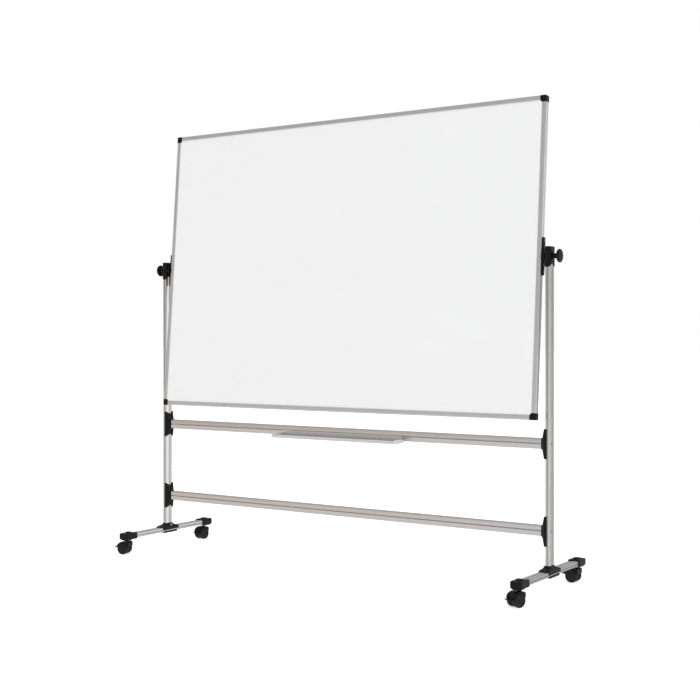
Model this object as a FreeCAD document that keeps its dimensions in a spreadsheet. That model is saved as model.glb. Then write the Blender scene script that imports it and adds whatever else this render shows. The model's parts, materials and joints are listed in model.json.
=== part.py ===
"""Rolling whiteboard: a double-sided board that turns over between the two posts of a wheeled stand.

Frame: millimetres, +Z up.  The origin is on the floor, midway between the posts.  +X runs along the
board's width, and -Y is the side that the pen tray faces.
"""
import FreeCAD, Part
import math
import os
import Sketcher

V = FreeCAD.Vector
X_AXIS, Y_AXIS, Z_AXIS = V(1, 0, 0), V(0, 1, 0), V(0, 0, 1)
RIGHT, LEFT = 1, -1
FRONT, BACK = -1, 1

# ---------------------------------------------------------------------------------------------
# Driving dimensions, in mm and degrees
# ---------------------------------------------------------------------------------------------
DIMENSIONS = {
    # board
    "board_width": 1800.0,      # outside the frame
    "board_height": 1200.0,
    "board_depth": 24.0,        # over the corner pieces
    "rail_relief": 0.4,         # how far the rails sit inside the corner pieces' faces
    "rail_face": 18.5,          # width of a rail seen from the front
    "rail_web": 5.0,            # from a rail's outer face to the panel's edge
    "corner_leg": 26.0,         # length of a corner piece along each rail
    "panel_depth": 18.0,        # core with both sheets
    "sheet_gauge": 0.4,
    "tilt": 4.6,                # how far the top of the board leans back at rest
    "pivot_height": 1232.0,
    # stand
    "post_spacing": 1856.0,     # centre to centre
    "tube_wide": 40.0,          # the one extrusion that posts, bars and feet are cut from
    "tube_thin": 20.0,
    "tube_corner": 3.5,
    "tube_wall": 2.5,
    "wide_bow": 0.8,            # how far the wide faces bulge in their middle
    "thin_bow": 0.3,
    "groove_radius": 2.1,
    "slip": 0.15,               # moulded parts round the extrusion, each side
    "upper_bar": 547.0,         # centre heights of the crossbars
    "lower_bar": 228.5,
    "foot_height": 77.5,        # centre height of the foot rails
    "foot_length": 570.0,       # over the end caps
    # post head
    "head_wide": 46.0,
    "head_thin": 26.0,
    "head_above": 35.0,         # above the pivot axis
    "head_below": 40.0,
    "head_roof": 5.0,
    # pivot
    "plate_length": 142.0,
    "plate_wide": 21.0,
    "plate_thick": 6.5,
    "hub_radius": 18.5,
    "turn_gap": 0.5,            # between the hub and the post head
    "stud_radius": 4.0,
    "running": 0.08,            # radial clearance round a turning shaft
    "knob_radius": 25.2,
    "knob_reach": 46.4,         # post centre to the knob's crown
    "boss_height": 3.0,
    # crossbar joint
    "joint_tall": 110.0,
    "joint_wide": 45.0,
    "joint_reach": 29.0,        # post centre to the socket's mouth
    "joint_web": 14.0,          # post centre to the bar's end
    "joint_nose": 12.0,         # bar's middle to the back of the socket's mouth
    "bolt_radius": 3.0,
    # foot fittings
    "saddle_long": 104.0,
    "saddle_top": 104.0,        # height of the collar
    "saddle_edge": 90.0,        # height where the slopes meet the skirt
    "clamp_long": 84.0,
    "cap_length": 67.0,
    "cap_wide": 47.0,
    "cap_bottom": 64.0,
    "cap_top": 91.5,
    "cap_solid": 49.0,          # from the cap's end to the rail's end
    "stem_inset": 34.0,         # from the cap's end to the caster stem
    # casters
    "wheel_radius": 25.0,
    "wheel_inner": 6.2,         # from the caster's middle to a wheel's inner face
    "wheel_outer": 23.7,
    "trail": 16.0,
    "axle_radius": 3.0,
    "hood_radius": 30.0,
    "hood_well": 26.0,
    "hood_wide": 42.0,
    "hood_top": 55.0,
    "web_wide": 11.0,
    "pedal_pin": 1.5,
    # pen tray
    "tray_length": 601.0,       # over its end caps
    "tray_offset": 13.0,        # from the middle of the bar
    "tray_floor": 525.0,        # top of the floor
    "tray_reach": 77.0,         # post plane to the front of the lip
    "tray_lip": 533.0,          # top of the lip
    "tray_gauge": 1.6,
    "tray_cap": 8.0,
}

doc = FreeCAD.newDocument("rolling_whiteboard")
sheet = doc.addObject("Spreadsheet::Sheet", "Sizes")


class Size:
    """A number together with the sheet expression that gives it."""

    def __init__(self, value, text):
        self.value = value
        self.text = text

    def _with(self, other, sign, value):
        other_text = other.text if isinstance(other, Size) else repr(float(other))
        return Size(value, f"({self.text} {sign} {other_text})")

    def __add__(self, other):
        return self._with(other, "+", self.value + number(other))

    def __sub__(self, other):
        return self._with(other, "-", self.value - number(other))

    def __mul__(self, other):
        return self._with(other, "*", self.value * number(other))

    def __truediv__(self, other):
        return self._with(other, "/", self.value / number(other))

    def __rsub__(self, other):
        return as_size(other) - self

    def __neg__(self):
        return self * -1

    __radd__ = __add__
    __rmul__ = __mul__


def number(size):
    return size.value if isinstance(size, Size) else float(size)


def as_size(value):
    return value if isinstance(value, Size) else Size(float(value), repr(float(value)))


def fill_sheet():
    """Writes the dimensions into the sheet and returns them as sizes by name."""
    sizes = {}
    for row, (name, value) in enumerate(DIMENSIONS.items(), start=1):
        sheet.set(f"A{row}", name)
        sheet.set(f"B{row}", repr(value))
        sheet.setAlias(f"B{row}", name)
        sizes[name] = Size(value, f"Sizes.{name}")
    doc.recompute()
    return sizes


D = fill_sheet()
half_span = D["post_spacing"] / 2
half_board = D["board_width"] / 2
half_high = D["board_height"] / 2
half_wide = D["tube_wide"] / 2
half_thin = D["tube_thin"] / 2
rail_depth = D["board_depth"] - 2 * D["rail_relief"]
foot_top = D["foot_height"] + half_thin
foot_bottom = D["foot_height"] - half_thin
stem_line = D["foot_length"] / 2 - D["stem_inset"]

# Small fixed details
BOLT_HOLE = D["bolt_radius"] + 0.1
BOLT_SHIFT = 11.0                       # foot bolts, either side of the post's middle
SCREW_HEIGHT = 96.0                     # locking screw through each saddle's inner slope
PLATE_SCREWS = (-58.0, -32.0, 32.0, 58.0)   # heights along a pivot plate
PLATE_SCREW_RADIUS = 2.0
STEM_BOTTOM, STEM_TOP = 42.0, 85.0
PEDAL_X, PEDAL_Z = 46.4, 31.0           # pedal pin, behind and just above the axle
EAR_INNER, EAR_OUTER = 8.4, 11.4        # the hood's two ears hold the pedal pin
CASTER_TURN = {                         # the way each caster trails, in degrees from +X
    ("front", "left"): 196, ("front", "right"): 248,
    ("back", "left"): 264, ("back", "right"): 179,
}
nodes = []


# ---------------------------------------------------------------------------------------------
# Helpers: every size handed to them is bound to the sheet
# ---------------------------------------------------------------------------------------------
def bind(thing, prop, size):
    thing.setExpression(prop, as_size(size).text)


def keep(thing, label):
    """Names a finished sub-part and lists it for export."""
    thing.Label = label
    nodes.append(thing)
    return thing


def place(thing, x=0, y=0, z=0, axis=Z_AXIS, angle=0):
    """Puts a sub-part in the frame; the coordinates and the angle follow the sheet."""
    turn = FreeCAD.Rotation(axis, number(angle))
    thing.Placement = FreeCAD.Placement(V(number(x), number(y), number(z)), turn)
    for letter, size in (("x", x), ("y", y), ("z", z)):
        bind(thing, f".Placement.Base.{letter}", size)
    if isinstance(angle, Size):
        bind(thing, ".Placement.Rotation.Angle", angle)
    return thing


def new_body():
    return doc.addObject("PartDesign::Body", "Body")


def new_sketch(body, plane, offset=0):
    """A sketch on one of the body's origin planes, moved along the plane's normal by offset."""
    sketch = body.newObject("Sketcher::SketchObject", "Sketch")
    origin = [f for f in body.Origin.OriginFeatures if f.Role == plane + "_Plane"][0]
    sketch.AttachmentSupport = [(origin, "")]
    sketch.MapMode = "FlatFace"
    if number(offset) != 0:
        sketch.AttachmentOffset = FreeCAD.Placement(V(0, 0, number(offset)), FreeCAD.Rotation())
        bind(sketch, ".AttachmentOffset.Base.z", offset)
    return sketch


def fix_point(sketch, geometry, point, x, y):
    for kind, size in (("DistanceX", x), ("DistanceY", y)):
        rule = Sketcher.Constraint(kind, -1, 1, geometry, point, number(size))
        index = sketch.addConstraint(rule)
        if isinstance(size, Size):
            bind(sketch, f"Constraints[{index}]", size)


def outline(sketch, points):
    """A closed polygon through points, each held by its two coordinates."""
    first = sketch.GeometryCount
    count = len(points)
    for i in range(count):
        (x0, y0), (x1, y1) = points[i], points[(i + 1) % count]
        line = Part.LineSegment(V(number(x0), number(y0), 0), V(number(x1), number(y1), 0))
        sketch.addGeometry(line, False)
    for i in range(count):
        rule = Sketcher.Constraint("Coincident", first + i, 2, first + (i + 1) % count, 1)
        sketch.addConstraint(rule)
        fix_point(sketch, first + i, 1, *points[i])
    return sketch


def rectangle(sketch, x0, x1, y0, y1):
    return outline(sketch, [(x0, y0), (x1, y0), (x1, y1), (x0, y1)])


def centred(sketch, wide, tall):
    return rectangle(sketch, -as_size(wide) / 2, as_size(wide) / 2, -as_size(tall) / 2, as_size(tall) / 2)


def circle(sketch, x, y, radius):
    index = sketch.addGeometry(Part.Circle(V(number(x), number(y), 0), Z_AXIS, number(radius)), False)
    fix_point(sketch, index, 3, x, y)
    rule = sketch.addConstraint(Sketcher.Constraint("Radius", index, number(radius)))
    bind(sketch, f"Constraints[{rule}]", radius)
    return sketch


def sweep(body, kind, sketch, length, both_ways=True):
    """A Pad or Pocket of the sketch, by default half its length to each side of the plane."""
    feature = body.newObject(f"PartDesign::{kind}", kind)
    feature.Profile = sketch
    feature.Midplane = both_ways
    bind(feature, "Length", length)
    doc.recompute()
    return feature


def pad(body, sketch, length, both_ways=True):
    return sweep(body, "Pad", sketch, length, both_ways)


def pocket(body, sketch, length):
    before = body.Shape.Volume
    feature = sweep(body, "Pocket", sketch, length)
    if body.Shape.Volume > before - 1e-3:
        raise ValueError(f"pocket {feature.Name} cuts nothing")
    return feature


def revolve(body, sketch, axis_name):
    """A full turn of the sketch about one of the body's origin axes."""
    feature = body.newObject("PartDesign::Revolution", "Revolution")
    feature.Profile = sketch
    axis = [f for f in body.Origin.OriginFeatures if f.Role == axis_name + "_Axis"][0]
    feature.ReferenceAxis = (axis, [""])
    feature.Angle = 360
    doc.recompute()
    return feature


def along(direction):
    """Picks straight edges that run along a direction."""
    def test(edge):
        if edge.Curve.TypeId != "Part::GeomLine":
            return False
        return abs(abs(edge.tangentAt(edge.FirstParameter).dot(direction)) - 1) < 1e-6
    return test


def near(value, target):
    return abs(value - number(target)) < 0.05


def soften(body, radius, wanted, kind="Fillet"):
    """A Fillet or Chamfer of the tip's edges that pass the test, given in the body's own frame."""
    tip = body.Tip
    shape = tip.Shape
    names = [f"Edge{i}" for i, edge in enumerate(shape.Edges, start=1) if wanted(edge)]
    if not names:
        raise ValueError(f"no edges to soften in {body.Name}")
    feature = body.newObject(f"PartDesign::{kind}", kind)
    feature.Base = (tip, names)
    bind(feature, "Radius" if kind == "Fillet" else "Size", radius)
    doc.recompute()
    return feature


def group(label, members):
    """Several identical small pieces as one sub-part of separate solids."""
    compound = doc.addObject("Part::Compound", "Group")
    compound.Links = members
    return keep(compound, label)


# ---------------------------------------------------------------------------------------------
# The extrusion
# ---------------------------------------------------------------------------------------------
def bowed_section(sketch):
    """The extrusion's outline: four arcs that bulge to the full 20 x 40 in the middle of each face."""
    half_x, half_y = D["tube_thin"] / 2, D["tube_wide"] / 2
    edge_x, edge_y = half_x - D["wide_bow"], half_y - D["thin_bow"]
    corners = [(edge_x, -edge_y), (edge_x, edge_y), (-edge_x, edge_y), (-edge_x, -edge_y)]
    crowns = [(half_x, 0), (0, half_y), (-half_x, 0), (0, -half_y)]
    chords = [(edge_y, D["wide_bow"]), (edge_x, D["thin_bow"])] * 2
    for index, crown in enumerate(crowns):
        points = (corners[index], crown, corners[(index + 1) % 4])
        sketch.addGeometry(Part.Arc(*[V(number(x), number(y), 0) for x, y in points]), False)
    for index, (reach, bow) in enumerate(chords):
        sketch.addConstraint(Sketcher.Constraint("Coincident", index, 2, (index + 1) % 4, 1))
        fix_point(sketch, index, 1, *corners[index])
        radius = (reach * reach + bow * bow) / (2 * bow)
        rule = sketch.addConstraint(Sketcher.Constraint("Radius", index, number(radius)))
        bind(sketch, f"Constraints[{rule}]", radius)
    return sketch


def extrusion(length, holes=()):
    """A length of the hollow, grooved 40 x 20 tube: 20 along X, 40 along Y, centred on its length
    along Z.  holes is a list of (distance along Z, radius), drilled through both wide walls."""
    body = new_body()
    pad(body, bowed_section(new_sketch(body, "XY")), length)
    soften(body, D["tube_corner"], along(Z_AXIS))
    inner_thin = D["tube_thin"] - 2 * D["tube_wall"]
    inner_wide = D["tube_wide"] - 2 * D["tube_wall"]
    pocket(body, centred(new_sketch(body, "XY"), inner_thin, inner_wide), length + 2)
    bore_x, bore_y = number(inner_thin) / 2, number(inner_wide) / 2

    def bore_corner(edge):
        middle = edge.CenterOfMass
        return along(Z_AXIS)(edge) and near(abs(middle.x), bore_x) and near(abs(middle.y), bore_y)

    soften(body, D["tube_corner"] - D["tube_wall"], bore_corner)
    grooves = new_sketch(body, "XY")
    for x, y in ((half_thin, 0), (-half_thin, 0), (0, half_wide), (0, -half_wide)):
        circle(grooves, x, y, D["groove_radius"])
    pocket(body, grooves, length + 2)
    for distance, radius in holes:
        pocket(body, circle(new_sketch(body, "YZ"), 0, distance, radius), D["tube_thin"] + 2)
    return body


def posts():
    top = D["pivot_height"] + D["head_above"] - D["head_roof"]
    bottom = foot_top + 2
    middle = (top + bottom) / 2
    holes = [(D["pivot_height"] - middle, D["stud_radius"] + D["running"]),
             (D["upper_bar"] - middle, BOLT_HOLE), (D["lower_bar"] - middle, BOLT_HOLE)]
    for side, name in ((LEFT, "left"), (RIGHT, "right")):
        body = extrusion(top - bottom, holes)
        keep(place(body, side * half_span, 0, middle), f"post_{name}")


def crossbars():
    """Bars lie along X with their wide side upright."""
    length = D["post_spacing"] - 2 * D["joint_web"]
    for name, height in (("upper", D["upper_bar"]), ("lower", D["lower_bar"])):
        body = extrusion(length)
        keep(place(body, 0, 0, height, V(1, 1, 1), 120), f"crossbar_{name}")


def foot_rails():
    """Foot rails lie along Y with their wide side flat; two bolts pass up through each."""
    length = D["foot_length"] - 2 * D["cap_solid"]
    holes = [(shift, BOLT_HOLE) for shift in (-BOLT_SHIFT, BOLT_SHIFT)]
    for side, name in ((LEFT, "left"), (RIGHT, "right")):
        body = extrusion(length, holes)
        keep(place(body, side * half_span, 0, D["foot_height"], V(1, 1, 1), 240), f"foot_rail_{name}")


# ---------------------------------------------------------------------------------------------
# Post heads
# ---------------------------------------------------------------------------------------------
def post_heads():
    """A moulded sleeve over the top of each post, arched underneath on its wide faces, with a
    boss on the outer face where the clamp knob bears."""
    tall = D["head_above"] + D["head_below"]
    pivot = (D["head_below"] - D["head_above"]) / 2        # pivot axis above the sleeve's middle
    slip_wide = D["tube_wide"] + 2 * D["slip"]
    slip_thin = D["tube_thin"] + 2 * D["slip"]
    for side, name in ((LEFT, "left"), (RIGHT, "right")):
        body = new_body()
        pad(body, centred(new_sketch(body, "XY"), D["head_thin"], D["head_wide"]), tall)
        soften(body, 9.5, along(Z_AXIS))
        soften(body, 2.5, lambda edge: near(edge.CenterOfMass.z, tall / 2))
        boss = circle(new_sketch(body, "YZ", D["head_thin"] / 2 - 1), 0, pivot, 13)
        pad(body, boss, D["boss_height"] + 1, both_ways=False)
        boss_face = D["head_thin"] / 2 + D["boss_height"]
        soften(body, 2, lambda edge: near(edge.CenterOfMass.x, boss_face), "Chamfer")
        cavity = centred(new_sketch(body, "XY", -D["head_roof"] / 2 - 0.5), slip_thin, slip_wide)
        pocket(body, cavity, tall - D["head_roof"] + 1)
        cavity_x, cavity_y = number(slip_thin) / 2, number(slip_wide) / 2

        def cavity_corner(edge):
            middle = edge.CenterOfMass
            return along(Z_AXIS)(edge) and near(abs(middle.x), cavity_x) and near(abs(middle.y), cavity_y)

        soften(body, D["tube_corner"] + D["slip"], cavity_corner)
        arch = circle(new_sketch(body, "YZ"), 0, -tall / 2 - 9, 22)
        pocket(body, arch, D["head_thin"] + 2)
        stud = circle(new_sketch(body, "YZ"), 0, pivot, D["stud_radius"] + D["running"])
        pocket(body, stud, 60)
        turn = 0 if side == RIGHT else 180
        keep(place(body, side * half_span, 0, D["pivot_height"] - pivot, Z_AXIS, turn), f"post_head_{name}")


# ---------------------------------------------------------------------------------------------
# Crossbar joints
# ---------------------------------------------------------------------------------------------
def crossbar_joints():
    """A cradle on the post's inner side with a socket and a spigot for the bar.  Its front view is
    a low gable with a nose round the bar, its front and back are bevelled towards the nose, and its
    top and bottom edges are notched between a wide front ear and a thin back one."""
    high = D["joint_tall"] / 2
    mouth = half_wide - 3
    shoulder = (D["joint_reach"] - 7, half_wide + 2)
    beyond = D["joint_wide"] / 2 + 1
    wrap = 3 - half_thin + 4                               # how far it reaches over the post's sides
    slip_thin = half_thin + D["slip"]
    slip_wide = half_wide + D["slip"]
    for level, height in (("upper", D["upper_bar"]), ("lower", D["lower_bar"])):
        for side, name in ((LEFT, "left"), (RIGHT, "right")):
            body = new_body()
            gable = [(wrap, -high), (wrap, high), (-half_thin - 2.4, high), (-shoulder[0], shoulder[1]),
                     (-D["joint_reach"], mouth), (-D["joint_reach"], -mouth), (-shoulder[0], -shoulder[1]),
                     (-half_thin - 2.4, -high)]
            pad(body, outline(new_sketch(body, "XZ"), gable), D["joint_wide"])

            for way in (1, -1):
                wedge = [(-D["joint_reach"] - 1, way * (D["joint_nose"] - 0.8)),
                         (-D["joint_reach"] - 1, way * beyond), (-half_thin - 1.3, way * beyond)]
                pocket(body, outline(new_sketch(body, "XY"), wedge), D["joint_tall"] + 2)

            def slope_edge(edge):
                middle = edge.CenterOfMass
                sloping = abs(edge.BoundBox.ZMax - edge.BoundBox.ZMin) > 3 and not along(Z_AXIS)(edge)
                return sloping and -number(shoulder[0]) < middle.x < -number(half_thin) - 2.5

            soften(body, 1.5, slope_edge)
            channel = rectangle(new_sketch(body, "XY"), -slip_thin, 12, -slip_wide, slip_wide)
            pocket(body, channel, D["joint_tall"] + 2)

            def channel_corner(edge):
                middle = edge.CenterOfMass
                return along(Z_AXIS)(edge) and near(middle.x, -slip_thin) and near(abs(middle.y), slip_wide)

            soften(body, D["tube_corner"] + D["slip"], channel_corner)
            depth = D["joint_reach"] - D["joint_web"]
            socket_plane = -(D["joint_web"] + (depth + 2) / 2)
            socket = centred(new_sketch(body, "YZ", socket_plane), 2 * slip_thin, 2 * slip_wide)
            pocket(body, socket, depth + 2)

            def socket_corner(edge):
                middle = edge.CenterOfMass
                at_corner = near(abs(middle.y), slip_thin) and near(abs(middle.z), slip_wide)
                return along(X_AXIS)(edge) and at_corner

            soften(body, D["tube_corner"] + D["slip"], socket_corner)
            for way in (1, -1):
                notch = [(-side * beyond, way * (high + 1)), (0, way * (high - 10)),
                         (side * 14, way * (high - 10)), (side * half_wide, way * (high + 1))]
                pocket(body, outline(new_sketch(body, "YZ"), notch), 80)
            spigot_thin = D["tube_thin"] - 2 * D["tube_wall"] - 0.4
            spigot_wide = D["tube_wide"] - 2 * D["tube_wall"] - 0.4
            spigot = centred(new_sketch(body, "YZ", -D["joint_web"] - 12.5), spigot_thin, spigot_wide)
            pad(body, spigot, 27)
            spigot_y, spigot_z = number(spigot_thin) / 2, number(spigot_wide) / 2

            def spigot_corner(edge):
                middle = edge.CenterOfMass
                at_corner = near(abs(middle.y), spigot_y) and near(abs(middle.z), spigot_z)
                return along(X_AXIS)(edge) and at_corner

            soften(body, 4, spigot_corner)
            pocket(body, circle(new_sketch(body, "YZ"), 0, 0, BOLT_HOLE), 90)
            turn = 0 if side == RIGHT else 180
            keep(place(body, side * half_span, 0, height, Z_AXIS, turn), f"bar_joint_{level}_{name}")


def crossbar_bolts():
    """One bolt per joint, through the post into the joint's spigot, its head on the outer face."""
    bolts = []
    for height in (D["upper_bar"], D["lower_bar"]):
        for side in (LEFT, RIGHT):
            body = new_body()
            shank_end = -D["joint_web"] - 20
            profile = [(shank_end, 0), (shank_end, D["bolt_radius"]), (half_thin, D["bolt_radius"]),
                       (half_thin, 5.5), (half_thin + 1.4, 5.5), (half_thin + 3, 3.6), (half_thin + 3, 0)]
            revolve(body, outline(new_sketch(body, "XY"), profile), "X")
            turn = 0 if side == RIGHT else 180
            bolts.append(place(body, side * half_span, 0, height, Z_AXIS, turn))
    group("crossbar_bolts", bolts)


# ---------------------------------------------------------------------------------------------
# Foot fittings
# ---------------------------------------------------------------------------------------------
def foot_saddles():
    """A moulded cover over the foot rail with sloping sides, a collar round the post and a spigot
    inside it.  Its skirts reach down to the rail's side grooves."""
    wide = D["tube_wide"] + 2 * D["slip"] + 5
    collar_thin = D["tube_thin"] + 6
    collar_wide = D["tube_wide"] + 6
    slip_wide = D["tube_wide"] + 2 * D["slip"]
    slip_thin = D["tube_thin"] + 2 * D["slip"]
    for side, name in ((LEFT, "left"), (RIGHT, "right")):
        body = new_body()
        skirt = centred(new_sketch(body, "XY", D["foot_height"]), wide, D["saddle_long"])
        pad(body, skirt, D["saddle_edge"] - D["foot_height"], both_ways=False)
        soften(body, 5, along(Z_AXIS))
        low = centred(new_sketch(body, "XY", D["saddle_edge"] - 0.5), wide - 3, D["saddle_long"] - 3)
        high = centred(new_sketch(body, "XY", D["saddle_top"]), collar_thin, collar_wide)
        slope = body.newObject("PartDesign::AdditiveLoft", "Loft")
        slope.Profile = low
        slope.Sections = [high]
        slope.Ruled = True
        doc.recompute()
        tunnel_top = foot_top + D["slip"]
        tunnel = rectangle(new_sketch(body, "XZ"), -slip_wide / 2, slip_wide / 2, 60, tunnel_top)
        pocket(body, tunnel, D["saddle_long"] + 2)
        hole = centred(new_sketch(body, "XY", foot_top + 2 + 20), slip_thin, slip_wide)
        pocket(body, hole, 40)
        spigot_thin = D["tube_thin"] - 2 * D["tube_wall"] - 0.4
        spigot_wide = D["tube_wide"] - 2 * D["tube_wall"] - 0.4
        spigot = centred(new_sketch(body, "XY", foot_top + 1), spigot_thin, spigot_wide)
        pad(body, spigot, 36, both_ways=False)
        spigot_x, spigot_y = number(spigot_thin) / 2, number(spigot_wide) / 2

        def spigot_corner(edge):
            middle = edge.CenterOfMass
            return along(Z_AXIS)(edge) and near(abs(middle.x), spigot_x) and near(abs(middle.y), spigot_y)

        soften(body, 4, spigot_corner)
        bolts = new_sketch(body, "XY", 100)
        for shift in (-BOLT_SHIFT, BOLT_SHIFT):
            circle(bolts, 0, shift, BOLT_HOLE)
        pocket(body, bolts, 60)
        screw_hole = circle(new_sketch(body, "YZ", -20), 0, SCREW_HEIGHT, 2.1)
        pocket(body, screw_hole, 26)
        turn = 0 if side == RIGHT else 180
        keep(place(body, side * half_span, 0, 0, Z_AXIS, turn), f"foot_saddle_{name}")


def saddle_screws():
    """A locking screw in the inner slope of each saddle, its tip in the post's wall."""
    screws = []
    for side in (LEFT, RIGHT):
        body = new_body()
        tip = -half_thin - 0.3
        profile = [(tip, 0), (tip, 2), (-21, 2), (-21, 4.5), (-22.2, 4.5), (-23.4, 3.2), (-23.4, 0)]
        revolve(body, outline(new_sketch(body, "XY"), profile), "X")
        turn = 0 if side == RIGHT else 180
        screws.append(place(body, side * half_span, 0, SCREW_HEIGHT, Z_AXIS, turn))
    group("saddle_screws", screws)


def foot_clamps():
    """A shallow tray under each foot rail that the foot bolts pull up against it."""
    wide = D["tube_wide"] + 2 * D["slip"] + 4
    slip_wide = D["tube_wide"] + 2 * D["slip"]
    bottom = foot_bottom - 4.5
    for side, name in ((LEFT, "left"), (RIGHT, "right")):
        body = new_body()
        block = rectangle(new_sketch(body, "XZ"), -wide / 2, wide / 2, bottom, foot_bottom + 4.5)
        pad(body, block, D["clamp_long"])
        soften(body, 2.5, lambda edge: near(edge.CenterOfMass.z, bottom) and along(Y_AXIS)(edge))
        tunnel = rectangle(new_sketch(body, "XZ"), -slip_wide / 2, slip_wide / 2, foot_bottom, foot_top)
        pocket(body, tunnel, D["clamp_long"] + 2)

        def bed_corner(edge):
            middle = edge.CenterOfMass
            return along(Y_AXIS)(edge) and near(middle.z, foot_bottom)

        soften(body, 4.4, bed_corner)
        bolts = new_sketch(body, "XY", 60)
        for shift in (-BOLT_SHIFT, BOLT_SHIFT):
            circle(bolts, 0, shift, BOLT_HOLE)
        pocket(body, bolts, 40)
        keep(place(body, side * half_span, 0, 0), f"foot_clamp_{name}")


def foot_bolts():
    """Two bolts per foot, from under the clamp through the rail into the saddle's spigot."""
    bolts = []
    seat = foot_bottom - 4.5
    for side in (LEFT, RIGHT):
        for shift in (-BOLT_SHIFT, BOLT_SHIFT):
            body = new_body()
            profile = [(0, 48), (D["bolt_radius"], 48), (D["bolt_radius"], 0),
                       (5, 0), (5, -2), (4, -3), (0, -3)]
            revolve(body, outline(new_sketch(body, "XZ"), profile), "Z")
            bolts.append(place(body, side * half_span, shift, seat))
    group("foot_bolts", bolts)


def foot_caps():
    """Moulded ends of the feet.  In a cap's own frame +Y points out of the foot and the caster
    stem stands on the Z axis."""
    outer, inner = D["stem_inset"], D["stem_inset"] - D["cap_length"]
    rail_end = D["stem_inset"] - D["cap_solid"]
    slip_wide = half_wide + D["slip"]
    for end, end_name in ((FRONT, "front"), (BACK, "back")):
        for side, name in ((LEFT, "left"), (RIGHT, "right")):
            body = new_body()
            block = rectangle(new_sketch(body, "XY", D["cap_bottom"]),
                              -D["cap_wide"] / 2, D["cap_wide"] / 2, inner, outer)
            pad(body, block, D["cap_top"] - D["cap_bottom"], both_ways=False)
            soften(body, 7, lambda edge: along(Z_AXIS)(edge) and edge.CenterOfMass.y > 0)

            def top_or_bottom(edge):
                middle = edge.CenterOfMass
                level = near(middle.z, D["cap_top"]) or near(middle.z, D["cap_bottom"])
                return level and middle.y > number(inner) + 1

            soften(body, 3.5, top_or_bottom)
            boss = circle(new_sketch(body, "XY", D["cap_top"] - 1), 0, -2, 13.5)
            pad(body, boss, 5, both_ways=False)
            soften(body, 2.4, lambda edge: near(edge.CenterOfMass.z, D["cap_top"] + 4))
            underside = rectangle(new_sketch(body, "XY", D["cap_bottom"] + 1), -19, 19, -10, 28)
            underpad = pad(body, underside, 3.5, both_ways=False)
            underpad.Reversed = True
            doc.recompute()

            def pad_corner(edge):
                return along(Z_AXIS)(edge) and edge.CenterOfMass.z < number(D["cap_bottom"])

            soften(body, 8, pad_corner)
            tunnel = rectangle(new_sketch(body, "XZ", -(rail_end - 30)), -slip_wide, slip_wide,
                               foot_bottom - D["slip"], foot_top + D["slip"])
            pocket(body, tunnel, 60)

            def tunnel_corner(edge):
                middle = edge.CenterOfMass
                return along(Y_AXIS)(edge) and near(abs(middle.x), slip_wide)

            soften(body, D["tube_corner"] + D["slip"], tunnel_corner)
            mouth = circle(new_sketch(body, "XY", 80), 0, inner - 22, 28)
            pocket(body, mouth, 50)
            stem_hole = circle(new_sketch(body, "XY", 60), 0, 0, D["stud_radius"])
            pocket(body, stem_hole, 50)
            turn = 0 if end == BACK else 180
            keep(place(body, side * half_span, end * stem_line, 0, Z_AXIS, turn),
                 f"foot_cap_{end_name}_{name}")


def caster_stems():
    """The steel stems that are pressed into the foot caps and that the casters turn on."""
    stems = []
    for end in (FRONT, BACK):
        for side in (LEFT, RIGHT):
            stem = doc.addObject("Part::Cylinder", "Stem")
            bind(stem, "Radius", D["stud_radius"])
            bind(stem, "Height", STEM_TOP - STEM_BOTTOM)
            stems.append(place(stem, side * half_span, end * stem_line, STEM_BOTTOM))
    group("caster_stems", stems)


# ---------------------------------------------------------------------------------------------
# Casters.  In a caster's own frame the stem stands on the Z axis, the floor is z = 0, +X is the
# way the wheels trail and Y is the axle.
# ---------------------------------------------------------------------------------------------
def caster_housing():
    """A hood over both wheels, open below and at the back, with a web between the wheels."""
    body = new_body()
    axle_x, axle_z = D["trail"], D["wheel_radius"]
    pad(body, circle(new_sketch(body, "XZ"), axle_x, axle_z, D["hood_radius"]), D["hood_wide"])
    pad(body, rectangle(new_sketch(body, "XZ"), -11, axle_x, 30, D["hood_top"]), D["hood_wide"])

    def front_corner(edge):
        return along(Y_AXIS)(edge) and near(edge.CenterOfMass.x, -11) and edge.CenterOfMass.z > 50

    soften(body, 8, front_corner)
    pocket(body, rectangle(new_sketch(body, "XZ"), -20, 60, -10, 34), D["hood_wide"] + 2)
    well_length = (D["hood_wide"] - D["web_wide"]) / 2 + 2
    for way in (1, -1):
        well_plane = way * (D["web_wide"] / 2 + well_length / 2)
        well = circle(new_sketch(body, "XZ", well_plane), axle_x, axle_z, D["hood_well"])
        pocket(body, well, well_length)
    pad(body, circle(new_sketch(body, "XZ"), axle_x, axle_z, D["wheel_radius"] - 4), D["web_wide"])
    pad(body, circle(new_sketch(body, "XY", D["hood_top"] - 5), 0, 0, 7), 8, both_ways=False)
    soften(body, 2, lambda edge: near(edge.CenterOfMass.z, D["hood_top"] + 3), "Chamfer")
    for way in (1, -1):
        ear_plane = way * (EAR_INNER + EAR_OUTER) / 2
        ear = outline(new_sketch(body, "XZ", ear_plane),
                      [(PEDAL_X - 3.4, PEDAL_Z - 3), (PEDAL_X + 3, PEDAL_Z - 3),
                       (PEDAL_X + 3, PEDAL_Z + 3), (PEDAL_X - 2, PEDAL_Z + 9), (PEDAL_X - 7, PEDAL_Z + 9),
                       (PEDAL_X - 5, PEDAL_Z + 4)])
        pad(body, ear, EAR_OUTER - EAR_INNER)
    pocket(body, circle(new_sketch(body, "XZ"), axle_x, axle_z, D["axle_radius"]), 60)
    pocket(body, circle(new_sketch(body, "XZ"), PEDAL_X, PEDAL_Z, D["pedal_pin"]), 60)
    stem_hole = circle(new_sketch(body, "XY", STEM_BOTTOM + 14.5), 0, 0, D["stud_radius"] + D["running"])
    pocket(body, stem_hole, 30)
    return body


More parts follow.
